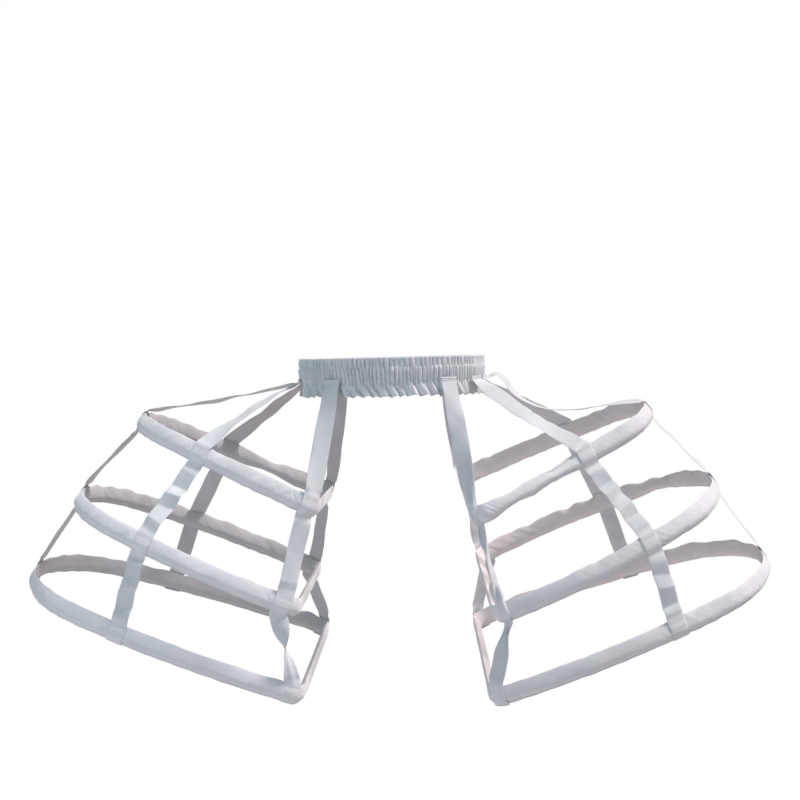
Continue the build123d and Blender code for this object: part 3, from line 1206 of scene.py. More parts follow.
@dataclass(frozen=True)
class TapeHabit:
    """How one tape hangs."""

    waist_share: float  # where it leaves the waist: share of the turn from the side to the front or back
    shares: tuple[float, float, float]  # where it crosses the hoops, from the top down
    facing: Facing  # the half of the hoops that it crosses
    crease_gap: float  # mean distance between two creases
    crease_depth: float  # depth of the creases
    shade_share: float = 0.75  # painted shade of its inner side against that of the sleeves
    twist_above: Level | None = None  # the hoop above which it makes half a turn
    # shape of the half turn: shares of the span, and of the half turn
    twist: tuple[tuple[float, float], ...] = ()
    # shape of a loose stretch below the waist: shares along and above the straight line, and turn
    slack: tuple[tuple[float, float, float], ...] = ()
    bunches: tuple[Bunch, ...] = ()  # places where it is drawn together
    lean_deg: float = 0.0  # angle by which its face is turned to the front where it hangs free


@dataclass
class Tape:
    """Flat woven tape from the waist down over the three hoops of a side."""

    side: Side  # the hip that it hangs on
    run: TapeRun  # its place from the front to the back
    habit: TapeHabit  # how it hangs
    band: Waistband  # the waistband that it is sewn to
    sleeves: list[Sleeve]  # the sleeves that it is sewn to, from the top down
    seed: int  # number that settles its creases and its wander
    inner_shade: float  # painted shade of its inner side
    width: float = 0.0215  # width of the tape
    thickness: float = 0.0007  # its thickness
    edge_share: float = 0.15  # share of the thickness that is left at the edges
    edge_power: int = 12  # power of the outline at the edges
    # offsets out of the waist line and heights of the points sewn to the band
    waist_places: tuple[tuple[float, float], ...] = (
        (0.0052, -0.0018), (0.0054, -0.0042), (0.0054, -0.0066),
    )
    # shares of a sleeve's half height at which the tape lies on it
    over_shares: tuple[float, ...] = (0.72, 0.3, -0.3, -0.72)
    # offsets outwards and upwards where it comes to a sleeve
    upper_edge: tuple[float, float] = (0.0019, 0.0122)
    lower_edge: tuple[float, float] = (0.0015, -0.0124)  # offsets where it leaves the sleeve
    turned_under: tuple[float, float] = (-0.0012, -0.0131)  # offsets of its end under the bottom sleeve
    stand_off: float = 0.004  # distance out of the hoop's line at which the tape bends round it
    straight: float = 1e-4  # curve under which the tape counts as straight across
    bend_share: float = 0.42  # length of a bend as a share of the stretches beside it
    bend_reach: float = 0.012  # most that a bend reaches to either side
    bend_points: int = 9  # points on a bend
    free_reach: float = 0.016  # distance from a sewn place at which the tape hangs free
    flatten: float = 1.6  # how soon the free tape lies flat across
    lean_start: float = 2.2  # how soon it leans
    wander_deg: float = 6.0  # angle by which it turns to and fro
    shade_reach: float = 0.02  # distance above the top hoop from which its painted shade may change
    shade_free: tuple[float, float] = (0.1, 0.6)  # how free it is where its painted shade starts and ends to change
    taut_share: float = 0.25  # share of the creases in the stretch from the waist to the top hoop
    taut_fade: float = 0.02  # length over which the creases grow below there
    crease_seed: int = 40  # step from the tape's seed to that of its creases
    crease_slant: float = 0.35  # how far the creases slant across the tape
    # least and greatest gap between creases, against the mean
    crease_gaps: tuple[float, float] = (0.55, 1.45)
    crease_depths: tuple[float, float] = (0.2, 1.0)  # least and greatest depth of a crease
    curl: float = 0.0008  # how far the edges curl
    pleat_depth: float = 0.0046  # depth of the pleats where the tape is bunched
    pleat_lift: float = 0.5  # how far out they lie, against their depth
    pleat_turns: float = 1.9  # pleats across the half width, in half turns
    pleat_run: float = 30.0  # how fast the pleats run sideways along the tape
    stitch_inset: float = 0.0028  # distance of the stitches from the edges of a sleeve
    # distances of the two rows at the waist from the first and last point there
    waist_inset: tuple[float, float] = (0.0012, 0.0008)
    stitch_lift: float = 0.00015  # height of the stitches over the cloth
    stitch_edge: float = 0.92  # share of the half width that the rows of stitches reach
    stitch_length: float = 0.19  # length of a stitch, as a share of the half width
    stitch_count: int = 7  # stitches in a row
    step: float = 0.0014  # distance between two rows of points
    columns: int = 11  # points across the tape

    def name(self) -> str:
        """Name of the tape's solid."""
        return f"{self.side.name.lower()}_{self.run.value}_tape"

    def piece_name(self) -> str:
        """Name of the soft tape."""
        return f"{self.name()}_cloth"

    def waist_touches(self) -> list[Touch]:
        """Points where the top end lies on the channel of the waistband.

        Returns:
            The points, from the top down.
        """
        quarter = self.habit.facing.value * self.habit.waist_share / 4
        turn = quarter if self.side is Side.LEFT else 0.5 - quarter
        angle = np.array([2 * pi * turn])
        outward = self.band.outward(angle)[0]
        across = np.cross([0.0, 0.0, 1.0], outward)
        points = [self.band.place(angle, *np.array(place)[:, None])[0] for place in self.waist_places]
        return [Touch(point, across, outward) for point in points]

    def sleeve_touches(self, sleeve: Sleeve, share: float) -> list[Touch]:
        """Points where the tape lies over one sleeve, from its top edge down.

        Args:
            sleeve: The sleeve.
            share: Where the tape crosses it.

        Returns:
            The points.
        """
        heights = np.array(self.over_shares)
        distance = np.full_like(heights, sleeve.line.crossing(self.habit.facing, share))
        points, normals, upwards, curves = sleeve.line.at(distance)
        across = np.cross(upwards[0], normals[0])
        out, up = sleeve.section(distance, heights, 1)
        offsets = [self.upper_edge, *zip(out + self.thickness, up), self.lower_edge]
        if sleeve.line.level is Level.BOTTOM:
            offsets.append(self.turned_under)
        radius = 1.0 / max(curves[0], self.straight) + self.stand_off
        return [
            Touch(points[0] + normals[0] * beyond + upwards[0] * above, across, normals[0], 1.0 / radius)
            for beyond, above in offsets
        ]

    def loose_touches(self, start: Touch, end: Touch) -> list[Touch]:
        """Points of a loose stretch.

        Args:
            start: The touch before it.
            end: The touch after it.

        Returns:
            The points between them.
        """
        span = end.point - start.point
        rise = np.array([0.0, 0.0, float(np.linalg.norm(span))])
        return [
            Touch(start.point + span * along + rise * up, start.across, start.outward, 0.0, lean_deg, False)
            for along, up, lean_deg in self.habit.slack
        ]

    def route(self) -> tuple[list[Touch], dict[Level, int]]:
        """The way of the tape from the waist to the bottom hoop.

        Returns:
            All the points that it passes, and the index of the first of each hoop.
        """
        touches = self.waist_touches()
        firsts: dict[Level, int] = {}
        for sleeve, share in zip(self.sleeves, self.habit.shares):
            over = self.sleeve_touches(sleeve, share)
            if sleeve.line.level is Level.TOP:
                touches += self.loose_touches(touches[-1], over[0])
            firsts[sleeve.line.level] = len(touches)
            touches += over
        return touches, firsts

    def rounded(self, corners: Array) -> tuple[Array, Array]:
        """A line through corners, each rounded a little.

        Args:
            corners: Points of the route.

        Returns:
            Points of the line, and the index of the one nearest each corner.
        """
        line = [corners[0]]
        marks = [0]
        shares = np.linspace(0.0, 1.0, self.bend_points)[:, None]
        for before, corner, after in zip(corners, corners[1:], corners[2:]):
            stretches = np.linalg.norm(corner - before), np.linalg.norm(after - corner)
            reach = min(self.bend_share * min(stretches), self.bend_reach)
            start = corner + unit(before - corner) * reach
            end = corner + unit(after - corner) * reach
            marks.append(len(line) + self.bend_points // 2)
            line.extend(start * (1 - shares) ** 2 + corner * 2 * shares * (1 - shares) + end * shares**2)
        marks.append(len(line))
        line.append(corners[-1])
        return np.array(line), np.array(marks)

    def lay(self) -> None:
        """Lays the middle line of the tape in small steps, with the directions of its width and face."""
        touches, self.firsts = self.route()
        line, marks = self.rounded(np.array([touch.point for touch in touches]))
        lengths = lengths_along(line)
        self.length = float(lengths[-1])
        self.marks = lengths[marks]
        self.ways = np.linspace(0.0, self.length, int(self.length / self.step) + 1)
        self.middle = vectors_at(self.ways, lengths, line)
        self.free = self.freedom(touches)
        self.outer = unit(vectors_at(self.ways, self.marks, [touch.outward for touch in touches]))
        bent = np.interp(self.ways, self.marks, [touch.curve for touch in touches])
        self.bent = bent * (1.0 - ease(self.free * self.flatten))
        along = unit(np.gradient(self.middle, axis=0))
        across = vectors_at(self.ways, self.marks, [touch.across for touch in touches])
        across = unit(across - along * (across * along).sum(-1, keepdims=True))
        facing = np.cross(across, along)
        if facing[0] @ self.outer[0] < 0:
            facing = -facing
        turn = self.turning(touches, np.sign(across[:, 1]))[:, None]
        self.across = across * np.cos(turn) + facing * np.sin(turn)
        self.facing = facing * np.cos(turn) - across * np.sin(turn)

    def freedom(self, touches: list[Touch]) -> Array:
        """How free the tape hangs along its way.

        Args:
            touches: The points that it passes.

        Returns:
            0 where it is sewn, 1 well away from there.
        """
        sewn = [mark for mark, touch in zip(self.marks, touches) if touch.is_sewn]
        away = np.abs(self.ways[:, None] - np.array(sewn)).min(1)
        return ease(away / self.free_reach)

    def turning(self, touches: list[Touch], to_front: Array) -> Array:
        """Angle by which the tape is turned on its own line: any half turn, its wander and its lean.

        Args:
            touches: The points that it passes.
            to_front: Sign of the turn that shows its face to the front.

        Returns:
            The angles along its way.
        """
        turn = np.zeros_like(self.ways)
        if self.habit.twist_above is not None:
            first = self.firsts[self.habit.twist_above]
            share = (self.ways - self.marks[first - 1]) / (self.marks[first] - self.marks[first - 1])
            turn = pi * np.interp(ease(share), *zip(*self.habit.twist))
        turn = turn + radians(self.wander_deg) * self.free * self.wander(0, 2, 7)
        lean = np.interp(self.ways, self.marks, [touch.lean_deg for touch in touches])
        lean = lean + self.habit.lean_deg * ease(self.lean_start * self.free)
        return turn + np.radians(lean) * to_front

    def wander(self, number: int, slowest: int, fastest: int) -> Array:
        """One of the tape's own unevennesses, by its number and its waves in the tape's length."""
        return Drift(self.seed + number, slowest, fastest).at(self.ways / self.length)

    def below_waist(self, before: float, fade: float) -> Array:
        """0 above the top hoop and 1 below, from a distance before it and over a fading length."""
        return ease((self.ways - self.marks[self.firsts[Level.TOP]] + before) / fade)

    def lower_mark(self, level: Level) -> float:
        """Distance along the tape where it leaves a sleeve."""
        return self.marks[self.firsts[level] + len(self.over_shares) + 1]

    def hung_shade_mask(self) -> Array:
        """Mask of the painted shade where the tape hangs free as single cloth.

        Returns:
            1 there, 0 where it lies on a sleeve.
        """
        held, loose = self.shade_free
        on_sleeve = 1.0 - ease((self.free - held) / (loose - held))
        return 1.0 - self.below_waist(self.shade_reach, self.shade_reach / 2) * on_sleeve

    def creases(self, ways: Array, shares: Array) -> Array:
        """Depth of the creases.

        Args:
            ways: Distances along the tape.
            shares: Shares of the half width.

        Returns:
            Offsets out of the tape's face.
        """
        rng = np.random.default_rng(self.seed + self.crease_seed)
        gap, depth = self.habit.crease_gap, self.habit.crease_depth
        count = int(self.length / gap) + 2
        places = np.cumsum(rng.uniform(*self.crease_gaps, count)) * gap - gap
        signs = np.where(np.arange(count) % 2 == 0, 1.0, -1.0)
        depths = signs * rng.uniform(*self.crease_depths, count) * depth
        other_depths = signs * rng.uniform(0.0, 1.0, count) * depth
        near = (shares + 1.0) / 2
        return np.interp(ways, places, depths) * (1.0 - near) + np.interp(ways, places, other_depths) * near

    def bunching(self) -> Array:
        """How far the width is drawn together along the way.

        Returns:
            Shares of the width.
        """
        drawn = np.zeros_like(self.ways)
        for bunch in self.habit.bunches:
            away = np.abs(self.ways - self.lower_mark(bunch.level) - bunch.below)
            drawn = np.maximum(drawn, bunch.share * (1.0 - ease(away / bunch.half_length)))
        return drawn

    def face(self, shares: Array, lift: Array) -> Array:
        """Points of one face of the tape.

        Args:
            shares: Shares of the half width.
            lift: Distance of the face from the middle of the tape at those shares.

        Returns:
            Points, rows by shares by 3.
        """
        way, share = np.meshgrid(self.ways, shares, indexing="ij")
        slant = self.crease_slant * self.wander(7, 2, 6)[:, None]
        taut = self.taut_share + (1.0 - self.taut_share) * self.below_waist(0.0, self.taut_fade)
        crease = self.creases(way + share * self.width / 2 * slant, share) * (self.free * taut)[:, None]
        curl = self.curl * share**2 * (self.wander(8, 3, 12) * self.free)[:, None]
        drawn = self.bunching()[:, None]
        reach = share * self.width / 2 * (1.0 - drawn)
        pleats = np.sin(self.pleat_turns * pi * share + self.pleat_run * way)
        pleat = self.pleat_depth * drawn * (self.pleat_lift + pleats)
        bend = np.maximum(self.bent, self.straight)[:, None]
        beside = np.sin(bend * reach) / bend
        fall = -(1.0 - np.cos(bend * reach)) / bend
        out = crease + curl + pleat + lift
        points = self.middle[:, None] + self.across[:, None] * beside[..., None]
        return points + self.facing[:, None] * out[..., None] + self.outer[:, None] * fall[..., None]

    def build(self) -> bpy.types.Object:
        """The tape, with rounded bends, creases and any half turn.

        Returns:
            The finished piece.
        """
        self.lay()
        shares = np.sin(np.linspace(-pi / 2, pi / 2, self.columns))
        half = self.thickness / 2 * np.clip(1.0 - np.abs(shares) ** self.edge_power, self.edge_share, 1.0)
        back_shares = shares[-2:0:-1]
        grid = np.concatenate([self.face(shares, half), self.face(back_shares, -half[-2:0:-1])], 1)
        across = np.concatenate([shares, back_shares]) * self.width / 2
        cloth = np.stack(np.meshgrid(self.ways, across, indexing="ij"), -1)
        # painted light or shade on whichever face is turned inwards
        turned = ease(0.5 - (self.facing * self.outer).sum(-1))[:, None]
        inside = np.abs(np.repeat([0.0, 1.0], [len(shares), len(back_shares)]) - turned)
        # painted shade on the outer face where the tape hangs free
        outer_shade = PaintedShade.HUNG.value * self.hung_shade_mask()[:, None]
        mesh = GridMesh(self.piece_name())
        mesh.add_grid(grid, cloth, outer_shade + (self.inner_shade - outer_shade) * inside, False)
        ring = np.arange(grid.shape[1])
        mesh.add_cap(ring, self.columns)
        mesh.add_cap(ring + (len(grid) - 1) * len(ring), self.columns)
        return mesh.make()

    def stitches(self) -> tuple[Array, Array]:
        """Ends of the stitches across the tape at the waist and along both edges of each sleeve.

        Returns:
            Ends, stitches by 2 by 3, and the directions out of the tape.
        """
        first_inset, last_inset = self.waist_inset
        rows = [self.marks[0] + first_inset, self.marks[len(self.waist_places) - 1] - last_inset]
        for level in Level:
            upper = self.marks[self.firsts[level]]
            rows += [upper + self.stitch_inset, self.lower_mark(level) - self.stitch_inset]
        starts = np.linspace(-self.stitch_edge, self.stitch_edge, self.stitch_count + 1)[:-1]
        shares = np.sort(np.concatenate([starts, starts + self.stitch_length]))
        lift = np.full(len(shares), self.thickness / 2 + self.stitch_lift)
        index = np.searchsorted(self.ways, rows)
        turned = ((self.facing[index] * self.outer[index]).sum(-1) < 0)[:, None]
        ends = np.where(turned[..., None], self.face(shares, -lift)[index], self.face(shares, lift)[index])
        outward = np.where(turned, -self.facing[index], self.facing[index])
        return ends.reshape(-1, 2, 3), np.repeat(outward, len(starts), 0)


@dataclass
class Stitching:
    """Short thread stitches, each a rounded bead that dips into the cloth at both ends."""

    name: str  # name of the piece
    radius: float = 0.00024  # half the thickness of the thread
    arch: float = 1.2  # rise of a stitch's middle, in radii
    dip: float = 0.7  # depth of its ends, in radii
    taper: float = 0.08  # share of its length over which an end tapers
    rings: int = 5  # points along a stitch
    sides: int = 5  # points round the thread
    ends: list[Array] = field(default_factory=list)  # ends of the stitches, row by row
    outward: list[Array] = field(default_factory=list)  # directions out of the cloth, row by row

    @staticmethod
    def spans(length: float, pitch: float, shown_share: float = 0.72) -> Array:
        """Even stitches round a closed seam.

        Args:
            length: Length of the seam.
            pitch: Distance from one stitch to the next, about.
            shown_share: Share of that distance that lies on top of the cloth.

        Returns:
            Distances of their two ends along the seam, stitches by 2.
        """
        count = int(length / pitch)
        starts = np.arange(count) * length / count
        return np.stack([starts, starts + shown_share * length / count], -1)

    def add(self, row: tuple[Array, Array]) -> None:
        """Adds a row of stitches: their ends and outward directions."""
        self.ends.append(row[0])
        self.outward.append(row[1])

    def build(self) -> bpy.types.Object:
        """All the stitches as one piece.

        Returns:
            The finished piece.
        """
        ends = np.concatenate(self.ends)
        spans = ends[:, 1] - ends[:, 0]
        along = unit(spans)
        outward = np.concatenate(self.outward)
        outward = unit(outward - along * (outward * along).sum(-1, keepdims=True))[:, None]
        beside = np.cross(along, outward[:, 0])[:, None]
        shares = np.linspace(0.0, 1.0, self.rings)
        thick = self.radius * np.sin(pi * (self.taper + (1.0 - 2 * self.taper) * shares)) ** 0.5
        arch = self.radius * (np.sin(pi * shares) * self.arch - self.dip)
        angles = np.arange(self.sides) * 2 * pi / self.sides
        middle = ends[:, None, 0] + spans[:, None] * shares[:, None] + outward * arch[:, None]
        turned = outward * np.cos(angles)[:, None] + beside * np.sin(angles)[:, None]
        points = middle[:, :, None] + turned[:, None] * thick[:, None, None]
        mesh = GridMesh(self.name)
        for stitch, size in zip(points, np.linalg.norm(spans, axis=1)):
            cloth = np.stack(np.meshgrid(shares * size, angles * self.radius, indexing="ij"), -1)
            mesh.add_grid(stitch, cloth, np.zeros(1), False)
        return mesh.make()


@dataclass
class Cage:
    """The two sides of the cage: sleeves and tapes round the bones."""

    band: Waistband  # the waistband that carries it
    # the sleeves of each side, from the top down
    sleeves: dict[Side, list[Sleeve]] = field(default_factory=dict)
    tapes: list[Tape] = field(default_factory=list)  # all the tapes

    # sizes of the hoops
    sizes: ClassVar[dict[Level, HoopSize]] = {
        Level.TOP: HoopSize(
            hip_gap=0.093, drop=0.159, reach=0.256, half_depth=0.124,
            run_radius=1.5, tip_radius=0.077, rise_deg=25.0,
        ),
        Level.MIDDLE: HoopSize(
            hip_gap=0.116, drop=0.273, reach=0.317, half_depth=0.139,
            run_radius=0.43, tip_radius=0.118, rise_deg=23.5,
        ),
        Level.BOTTOM: HoopSize(
            hip_gap=0.110, drop=0.367, reach=0.379, half_depth=0.145,
            run_radius=0.7, tip_radius=0.118, rise_deg=19.0,
        ),
    }
    # angles in degrees by which the hoops' backs hang higher than their fronts
    hangs: ClassVar[dict[Side, dict[Level, float]]] = {
        Side.LEFT: {Level.TOP: 6.0, Level.MIDDLE: 6.0, Level.BOTTOM: 6.5},
        Side.RIGHT: {Level.TOP: -2.5, Level.MIDDLE: -0.5, Level.BOTTOM: 3.5},
    }
    # stretches where the sleeves are drawn tight
    pinched: ClassVar[dict[tuple[Side, Level], tuple[Pinch, ...]]] = {
        (Side.LEFT, Level.TOP): (
            Pinch(Facing.FRONT, 0.53, 0.065, 22.0),
            Pinch(Facing.FRONT, 0.41, 0.045, 6.0),
        ),
        (Side.RIGHT, Level.TOP): (Pinch(Facing.BACK, 0.5, 0.05, 8.0),),
        (Side.LEFT, Level.MIDDLE): (Pinch(Facing.BACK, 0.78, 0.05, -8.0),),
    }
    # how the tapes hang
    habits: ClassVar[dict[TapeRun, TapeHabit]] = {
        TapeRun.FRONT_INNER: TapeHabit(0.59, (0.285, 0.272, 0.245), Facing.FRONT, 0.04, 0.0018),
        TapeRun.FRONT_MID: TapeHabit(0.24, (0.66, 0.645, 0.635), Facing.FRONT, 0.016, 0.0036),
        TapeRun.SIDE: TapeHabit(0.0, (1.0, 1.0, 1.0), Facing.FRONT, 0.05, 0.0007, shade_share=0.4),
        TapeRun.BACK_MID: TapeHabit(0.24, (0.665, 0.622, 0.62), Facing.BACK, 0.03, 0.002),
        TapeRun.BACK_INNER: TapeHabit(0.59, (0.285, 0.272, 0.245), Facing.BACK, 0.05, 0.0018),
    }
    # what is different about a tape on one side
    changes: ClassVar[dict[tuple[Side, TapeRun], dict[str, Any]]] = {
        (Side.LEFT, TapeRun.FRONT_INNER): {
            "twist_above": Level.MIDDLE,
            "twist": ((0.0, 0.0), (0.3, 0.38), (0.55, 0.43), (0.8, 0.5), (1.0, 1.0)),
            "bunches": (
                Bunch(Level.MIDDLE, 0.01, 0.03, 0.6),
                Bunch(Level.MIDDLE, -0.034, 0.05, 0.36),
                Bunch(Level.TOP, 0.004, 0.08, 0.68),
            ),
        },
        (Side.LEFT, TapeRun.FRONT_MID): {
            "waist_share": 0.3,
            "shares": (0.65, 0.645, 0.635),
            "slack": ((0.12, -0.01, 36.0), (0.3, -0.022, 30.0), (0.6, -0.03, 18.0)),
        },
        (Side.LEFT, TapeRun.SIDE): {
            "slack": (
                (0.07, 0.046, 4.0), (0.125, 0.012, 8.0), (0.155, -0.05, 4.0), (0.27, -0.12, -6.0),
                (0.41, -0.143, -11.0), (0.53, -0.128, -13.0), (0.66, -0.094, -13.0), (0.83, -0.046, -11.0),
            ),
            "lean_deg": 11.0,
        },
        (Side.RIGHT, TapeRun.FRONT_INNER): {
            "shares": (0.3, 0.29, 0.258),
            "twist_above": Level.BOTTOM,
            "twist": ((0.0, 0.0), (1.0, 1.0)),
            "bunches": (Bunch(Level.BOTTOM, -0.05, 0.034, 0.24),),
        },
        (Side.RIGHT, TapeRun.FRONT_MID): {
            "waist_share": 0.1,
            "slack": ((0.25, 0.034, 8.0), (0.5, 0.03, 20.0), (0.75, 0.024, 22.0)),
        },
        (Side.RIGHT, TapeRun.SIDE): {
            "slack": ((0.3, -0.014, -4.0), (0.6, -0.016, -4.0)),
            "lean_deg": -7.0,
        },
        (Side.RIGHT, TapeRun.BACK_MID): {"waist_share": 0.2, "shares": (0.645, 0.618, 0.62)},
    }
    # painted warm light on the cloth's inner side on the wearer's left hip, painted shade on the right hip
    shades: ClassVar[dict[Side, PaintedShade]] = {Side.LEFT: PaintedShade.LIT, Side.RIGHT: PaintedShade.DIM}
    # the first sleeve's seed, and the steps from level to level and side to side
    sleeve_seeds: ClassVar[tuple[int, int, int]] = (100, 10, 50)
    # the first tape's seed, and the steps from run to run and side to side
    tape_seeds: ClassVar[tuple[int, int, int]] = (300, 20, 7)

    def __post_init__(self) -> None:
        """Lays out the sleeves and tapes of both sides."""
        for side in Side:
            self.sleeves[side] = [self.sleeve(side, level) for level in Level]
            self.tapes += [self.tape(side, run) for run in TapeRun]

    def habit(self, side: Side, run: TapeRun) -> TapeHabit:
        """How a tape hangs on one side, where the two sides differ a little."""
        return replace(self.habits[run], **self.changes.get((side, run), {}))

    def sleeve(self, side: Side, level: Level) -> Sleeve:
        """One sleeve, with the places where tapes cross it.

        Args:
            side: The hip that it hangs on.
            level: Its place from the waist down.

        Returns:
            The sleeve, not yet built.
        """
        line = HoopLine(side, level, self.sizes[level], self.hangs[side][level])
        place = list(Level).index(level)
        habits = [self.habit(side, run) for run in TapeRun]
        crossings = [line.crossing(habit.facing, habit.shares[place]) for habit in habits]
        first, level_step, side_step = self.sleeve_seeds
        seed = first + level_step * place + side_step * (side is Side.RIGHT)
        return Sleeve(line, crossings, seed, self.pinched.get((side, level), ()), self.shades[side].value)

    def tape(self, side: Side, run: TapeRun) -> Tape:
        """One tape, over the sleeves of its side.

        Args:
            side: The hip that it hangs on.
            run: Its place from the front to the back.

        Returns:
            The tape, not yet built.
        """
        habit = self.habit(side, run)
        first, run_step, side_step = self.tape_seeds
        seed = first + run_step * list(TapeRun).index(run) + side_step * (side is Side.RIGHT)
        # painted shade of the tape's inner side
        shade = habit.shade_share * self.shades[side].value
        return Tape(side, run, habit, self.band, self.sleeves[side], seed, shade)

    def build(self, sleeve_finish: bpy.types.Material, tape_finish: bpy.types.Material) -> None:
        """Makes the sleeves and tapes and gives them their finishes.

        Args:
            sleeve_finish: Material of the sleeves.
            tape_finish: Material of the tapes.
        """
        for sleeve in sum(self.sleeves.values(), []):
            piece = sleeve.build()
            settle(piece, sleeve_finish, "cotton_sleeve", sleeve.name())
            bone = sleeve.name().replace("sleeve", "bone")
        for tape in self.tapes:
            piece = tape.build()
            settle(piece, tape_finish, "cotton_tape", tape.name())
            carriers = ["waistband", *[sleeve.piece_name() for sleeve in tape.sleeves]]

    def stitch(self, finish: bpy.types.Material) -> None:
        """Sews the lips of the sleeves and the crossings of the tapes.

        Args:
            finish: Material of the thread.
        """
        for side in Side:
            lips = Stitching(f"{side.name.lower()}_sleeve_stitching")
            for sleeve in self.sleeves[side]:
                lips.add(sleeve.stitches())
            settle(lips.build(), finish, "cotton_sleeve")
        crossings = Stitching("tape_stitching")
        for tape in self.tapes:
            crossings.add(tape.stitches())
        settle(crossings.build(), finish, "cotton_tape")


@dataclass
class InnerParts:
    """The parts inside the cloth."""

    # finish of the elastic in the waistband
    elastic: HiddenFinish = HiddenFinish(
        name="knitted_elastic", pale=(0.84, 0.84, 0.83), dull=(0.7, 0.7, 0.7), grain=900.0, roughness=0.8,
    )
    # finish of the bones in the sleeves
    bone: HiddenFinish = HiddenFinish(
        name="flat_bone", pale=(0.82, 0.82, 0.79), dull=(0.74, 0.74, 0.7), grain=260.0, roughness=0.45,
    )
    # finish of the joiners on the bones
    joiner: HiddenFinish = HiddenFinish(
        name="folded_steel", pale=(0.62, 0.62, 0.64), dull=(0.5, 0.5, 0.52), grain=420.0, roughness=0.35,
        metal=1.0,
    )

    def dress(self) -> None:
        """Gives each inner solid its finish."""
        finishes = {"elastic": self.elastic.make(), "bone": self.bone.make(), "joiner": self.joiner.make()}
        for name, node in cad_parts.items():
            kind = name.rsplit("_", 1)[-1]
            if kind in finishes:
                node.data.materials.clear()
                node.data.materials.append(finishes[kind])
                log.info("%s: dressed", name)


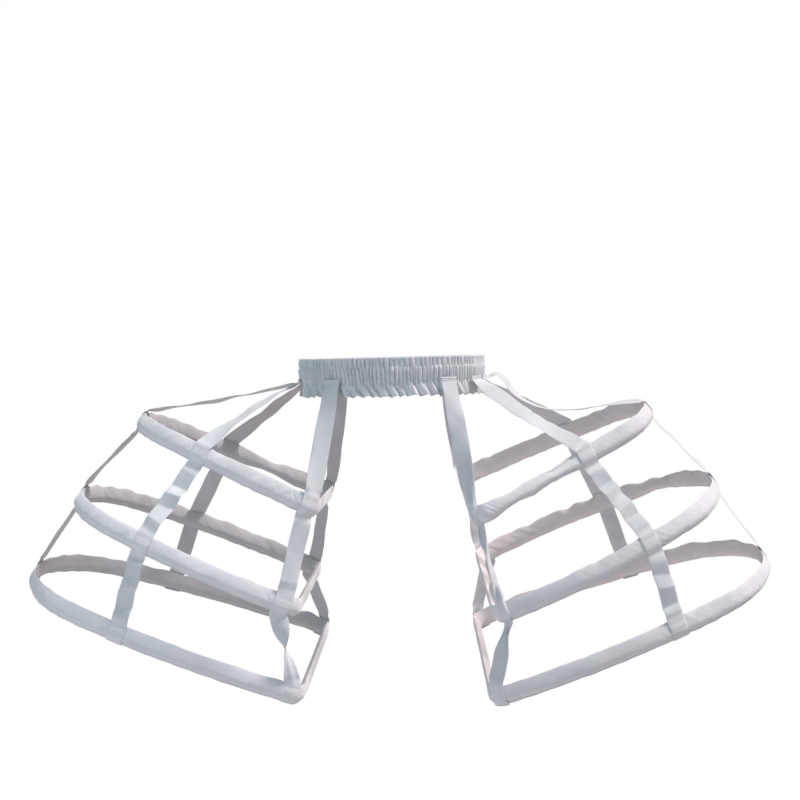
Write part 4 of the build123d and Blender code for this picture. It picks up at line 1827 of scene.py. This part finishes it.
@dataclass
class Studio:
    """Camera, soft light, pale floor and white surroundings."""

    eye: Place = (0.05582, -1.54589, 0.03051)  # place of the camera
    yaw: float = -0.0302  # turn of the camera to the right
    pitch: float = -0.04038  # its tilt upwards
    roll: float = -0.02437  # its roll
    lens_mm: float = 54.0  # its lens, on the sensor's width
    sensor_mm: float = 36.0  # width of its sensor
    aim: Place = (0.0, 0.0, -0.2)  # point that the lamps face
    lamp_size: float = 0.8  # length of a lamp's edge
    lamp_colour: Colour = (0.74, 0.925, 1.0)  # colour of the lamps
    # places of the lamps, and their power in watts
    lamps: tuple[tuple[str, Place, float], ...] = (
        ("left_front", (-1.05, -1.1, 0.25), 5.8),
        ("right_front", (0.9, -1.3, 0.7), 2.3),
    )
    sun_from: Place = (0.54, 0.0, 0.84)  # direction that the warm light comes from
    sun_strength: float = 3.8  # its strength
    sun_spread_deg: float = 14.0  # angle over which it is spread
    sun_colour: Colour = (1.0, 0.885, 0.875)  # its colour
    sky_colour: Colour = (0.88, 0.93, 1.0)  # colour of the light from all sides
    sky_strength: float = 0.14  # its strength
    floor_drop: float = 1.0  # distance of the floor below the waist
    floor_half: float = 6.0  # half the width of the floor
    floor_colour: Colour = (0.5, 0.5, 0.51)  # colour of the floor
    floor_roughness: float = 0.9  # its roughness
    floor_glow: float = 1.03  # brightness of the white that it shows to the camera
    floor_glow_share: float = 0.94  # share of that white; the rest takes the shadow

    def build(self) -> None:
        """Sets up the camera, the lamps, the floor and the world."""
        self.camera()
        self.floor()
        self.world()
        self.light()
        bpy.context.scene.view_settings.view_transform = "Standard"

    def camera(self) -> None:
        """The camera, at the place and angle of the picture."""
        level = Vector((cos(self.yaw), -sin(self.yaw), 0.0))
        ahead = Vector((sin(self.yaw), cos(self.yaw), 0.0))
        forward = ahead * cos(self.pitch) + Vector((0.0, 0.0, sin(self.pitch)))
        upright = level.cross(forward)
        right = level * cos(self.roll) + upright * sin(self.roll)
        upward = upright * cos(self.roll) - level * sin(self.roll)
        data = bpy.data.cameras.new("camera")
        data.lens = self.lens_mm
        data.sensor_width = self.sensor_mm
        camera = bpy.data.objects.new("camera", data)
        turned = Matrix((right, upward, -forward)).transposed().to_4x4()
        camera.matrix_world = Matrix.Translation(self.eye) @ turned
        show(camera)
        bpy.context.scene.camera = camera

    def light(self) -> None:
        """Two soft square lamps in front, and warm light from one direction with softened shadows."""
        for name, place, power in self.lamps:
            lamp = bpy.data.lights.new(name, "AREA")
            lamp.size = self.lamp_size
            lamp.energy = power
            lamp.color = self.lamp_colour
            self.hang(lamp, Vector(place), Vector(self.aim))
        sun = bpy.data.lights.new("high_light", "SUN")
        sun.angle = radians(self.sun_spread_deg)
        sun.energy = self.sun_strength
        sun.color = self.sun_colour
        self.hang(sun, Vector(self.sun_from), Vector())

    @staticmethod
    def hang(light: bpy.types.Light, place: Vector, aim: Vector) -> None:
        """Hangs a light.

        Args:
            light: The light.
            place: Its place.
            aim: Point that it faces.
        """
        lamp = bpy.data.objects.new(light.name, light)
        lamp.location = place
        lamp.rotation_euler = (aim - place).to_track_quat("-Z", "Y").to_euler()
        show(lamp)

    def floor(self) -> None:
        """A pale floor well below the cage, white to the camera but for the shadow."""
        corners = [(-1, -1), (1, -1), (1, 1), (-1, 1)]
        mesh = bpy.data.meshes.new("floor")
        points = [(x * self.floor_half, y * self.floor_half, 0.0) for x, y in corners]
        mesh.from_pydata(points, [], [(0, 1, 2, 3)])
        floor = bpy.data.objects.new("floor", mesh)
        floor.location.z = -self.floor_drop
        show(floor)
        material = bpy.data.materials.new("pale_floor")
        tree = NodeTree(material)
        tree.fix(tree.shader, {"Base Color": (*self.floor_colour, 1.0), "Roughness": self.floor_roughness})
        glow = tree.add("ShaderNodeEmission")
        tree.fix(glow, {"Strength": self.floor_glow})
        share = tree.seen(self.floor_glow_share)
        tree.blend(share, (tree.shader, "BSDF"), (glow, "Emission"), "Material Output")
        mesh.materials.append(material)

    def world(self) -> None:
        """White surroundings where they are seen, and a soft cool light from all sides."""
        world = bpy.data.worlds.new("studio")
        bpy.context.scene.world = world
        tree = NodeTree(world, "Background")
        tree.fix(tree.shader, {"Color": (*self.sky_colour, 1.0), "Strength": self.sky_strength})
        white = tree.add("ShaderNodeBackground")
        tree.fix(white, {"Color": (*WHITE, 1.0), "Strength": 1.0})
        tree.blend(tree.seen(1.0), (tree.shader, "Background"), (white, "Background"), "World Output")


def main() -> None:
    """Builds the cage piece by piece and sets up the studio."""
    # the same cotton as the sleeves in darker colours: painted shade for the band's shade among its gathers
    band_finish = ClothFinish(
        name="gathered_cotton", pale=(0.76, 0.805, 0.825), dull=(0.7, 0.745, 0.775), thread=0.00055,
        weave_depth=0.00006, crumple_depth=0.0004, crumple_scale=160.0, roughness=0.82, sheen=0.2,
    ).make()
    sleeve_finish = ClothFinish(
        name="sleeve_cotton", pale=(0.82, 0.84, 0.865), dull=(0.78, 0.8, 0.835), thread=0.0005,
        weave_depth=0.00005, crumple_depth=0.0005, crumple_scale=90.0, roughness=0.72, sheen=0.3,
    ).make()
    tape_finish = ClothFinish(
        name="woven_tape", pale=(0.82, 0.84, 0.865), dull=(0.78, 0.8, 0.835), thread=0.0006,
        weave_depth=0.00002, crumple_depth=0.00014, crumple_scale=120.0, roughness=0.78, sheen=0.2, rib=0.5,
        # tints of painted shade where the tape hangs free, and of painted warm light and painted shade on
        # its inner side
        hung=(0.854, 0.881, 0.89), lit=(0.854, 0.81, 0.79), dim=(0.615, 0.617, 0.61),
    ).make()
    thread_finish = ClothFinish(
        name="sewing_thread", pale=(0.8, 0.81, 0.84), dull=(0.74, 0.75, 0.79), thread=0.0003,
        weave_depth=0.00003, crumple_depth=0.0001, crumple_scale=400.0, roughness=0.6, sheen=0.1, rib=0.8,
    ).make()
    InnerParts().dress()
    band = Waistband()
    piece = band.build()
    settle(piece, band_finish, "cotton_band", "waist_casing")
    seams = Stitching("waist_stitching")
    seams.add(band.stitches(band.upper_seam))
    seams.add(band.stitches(band.lower_seam))
    settle(seams.build(), thread_finish, "cotton_band")
    cage = Cage(band)
    cage.build(sleeve_finish, tape_finish)
    cage.stitch(thread_finish)
    Studio().build()


if __name__ == "__main__":
    main()
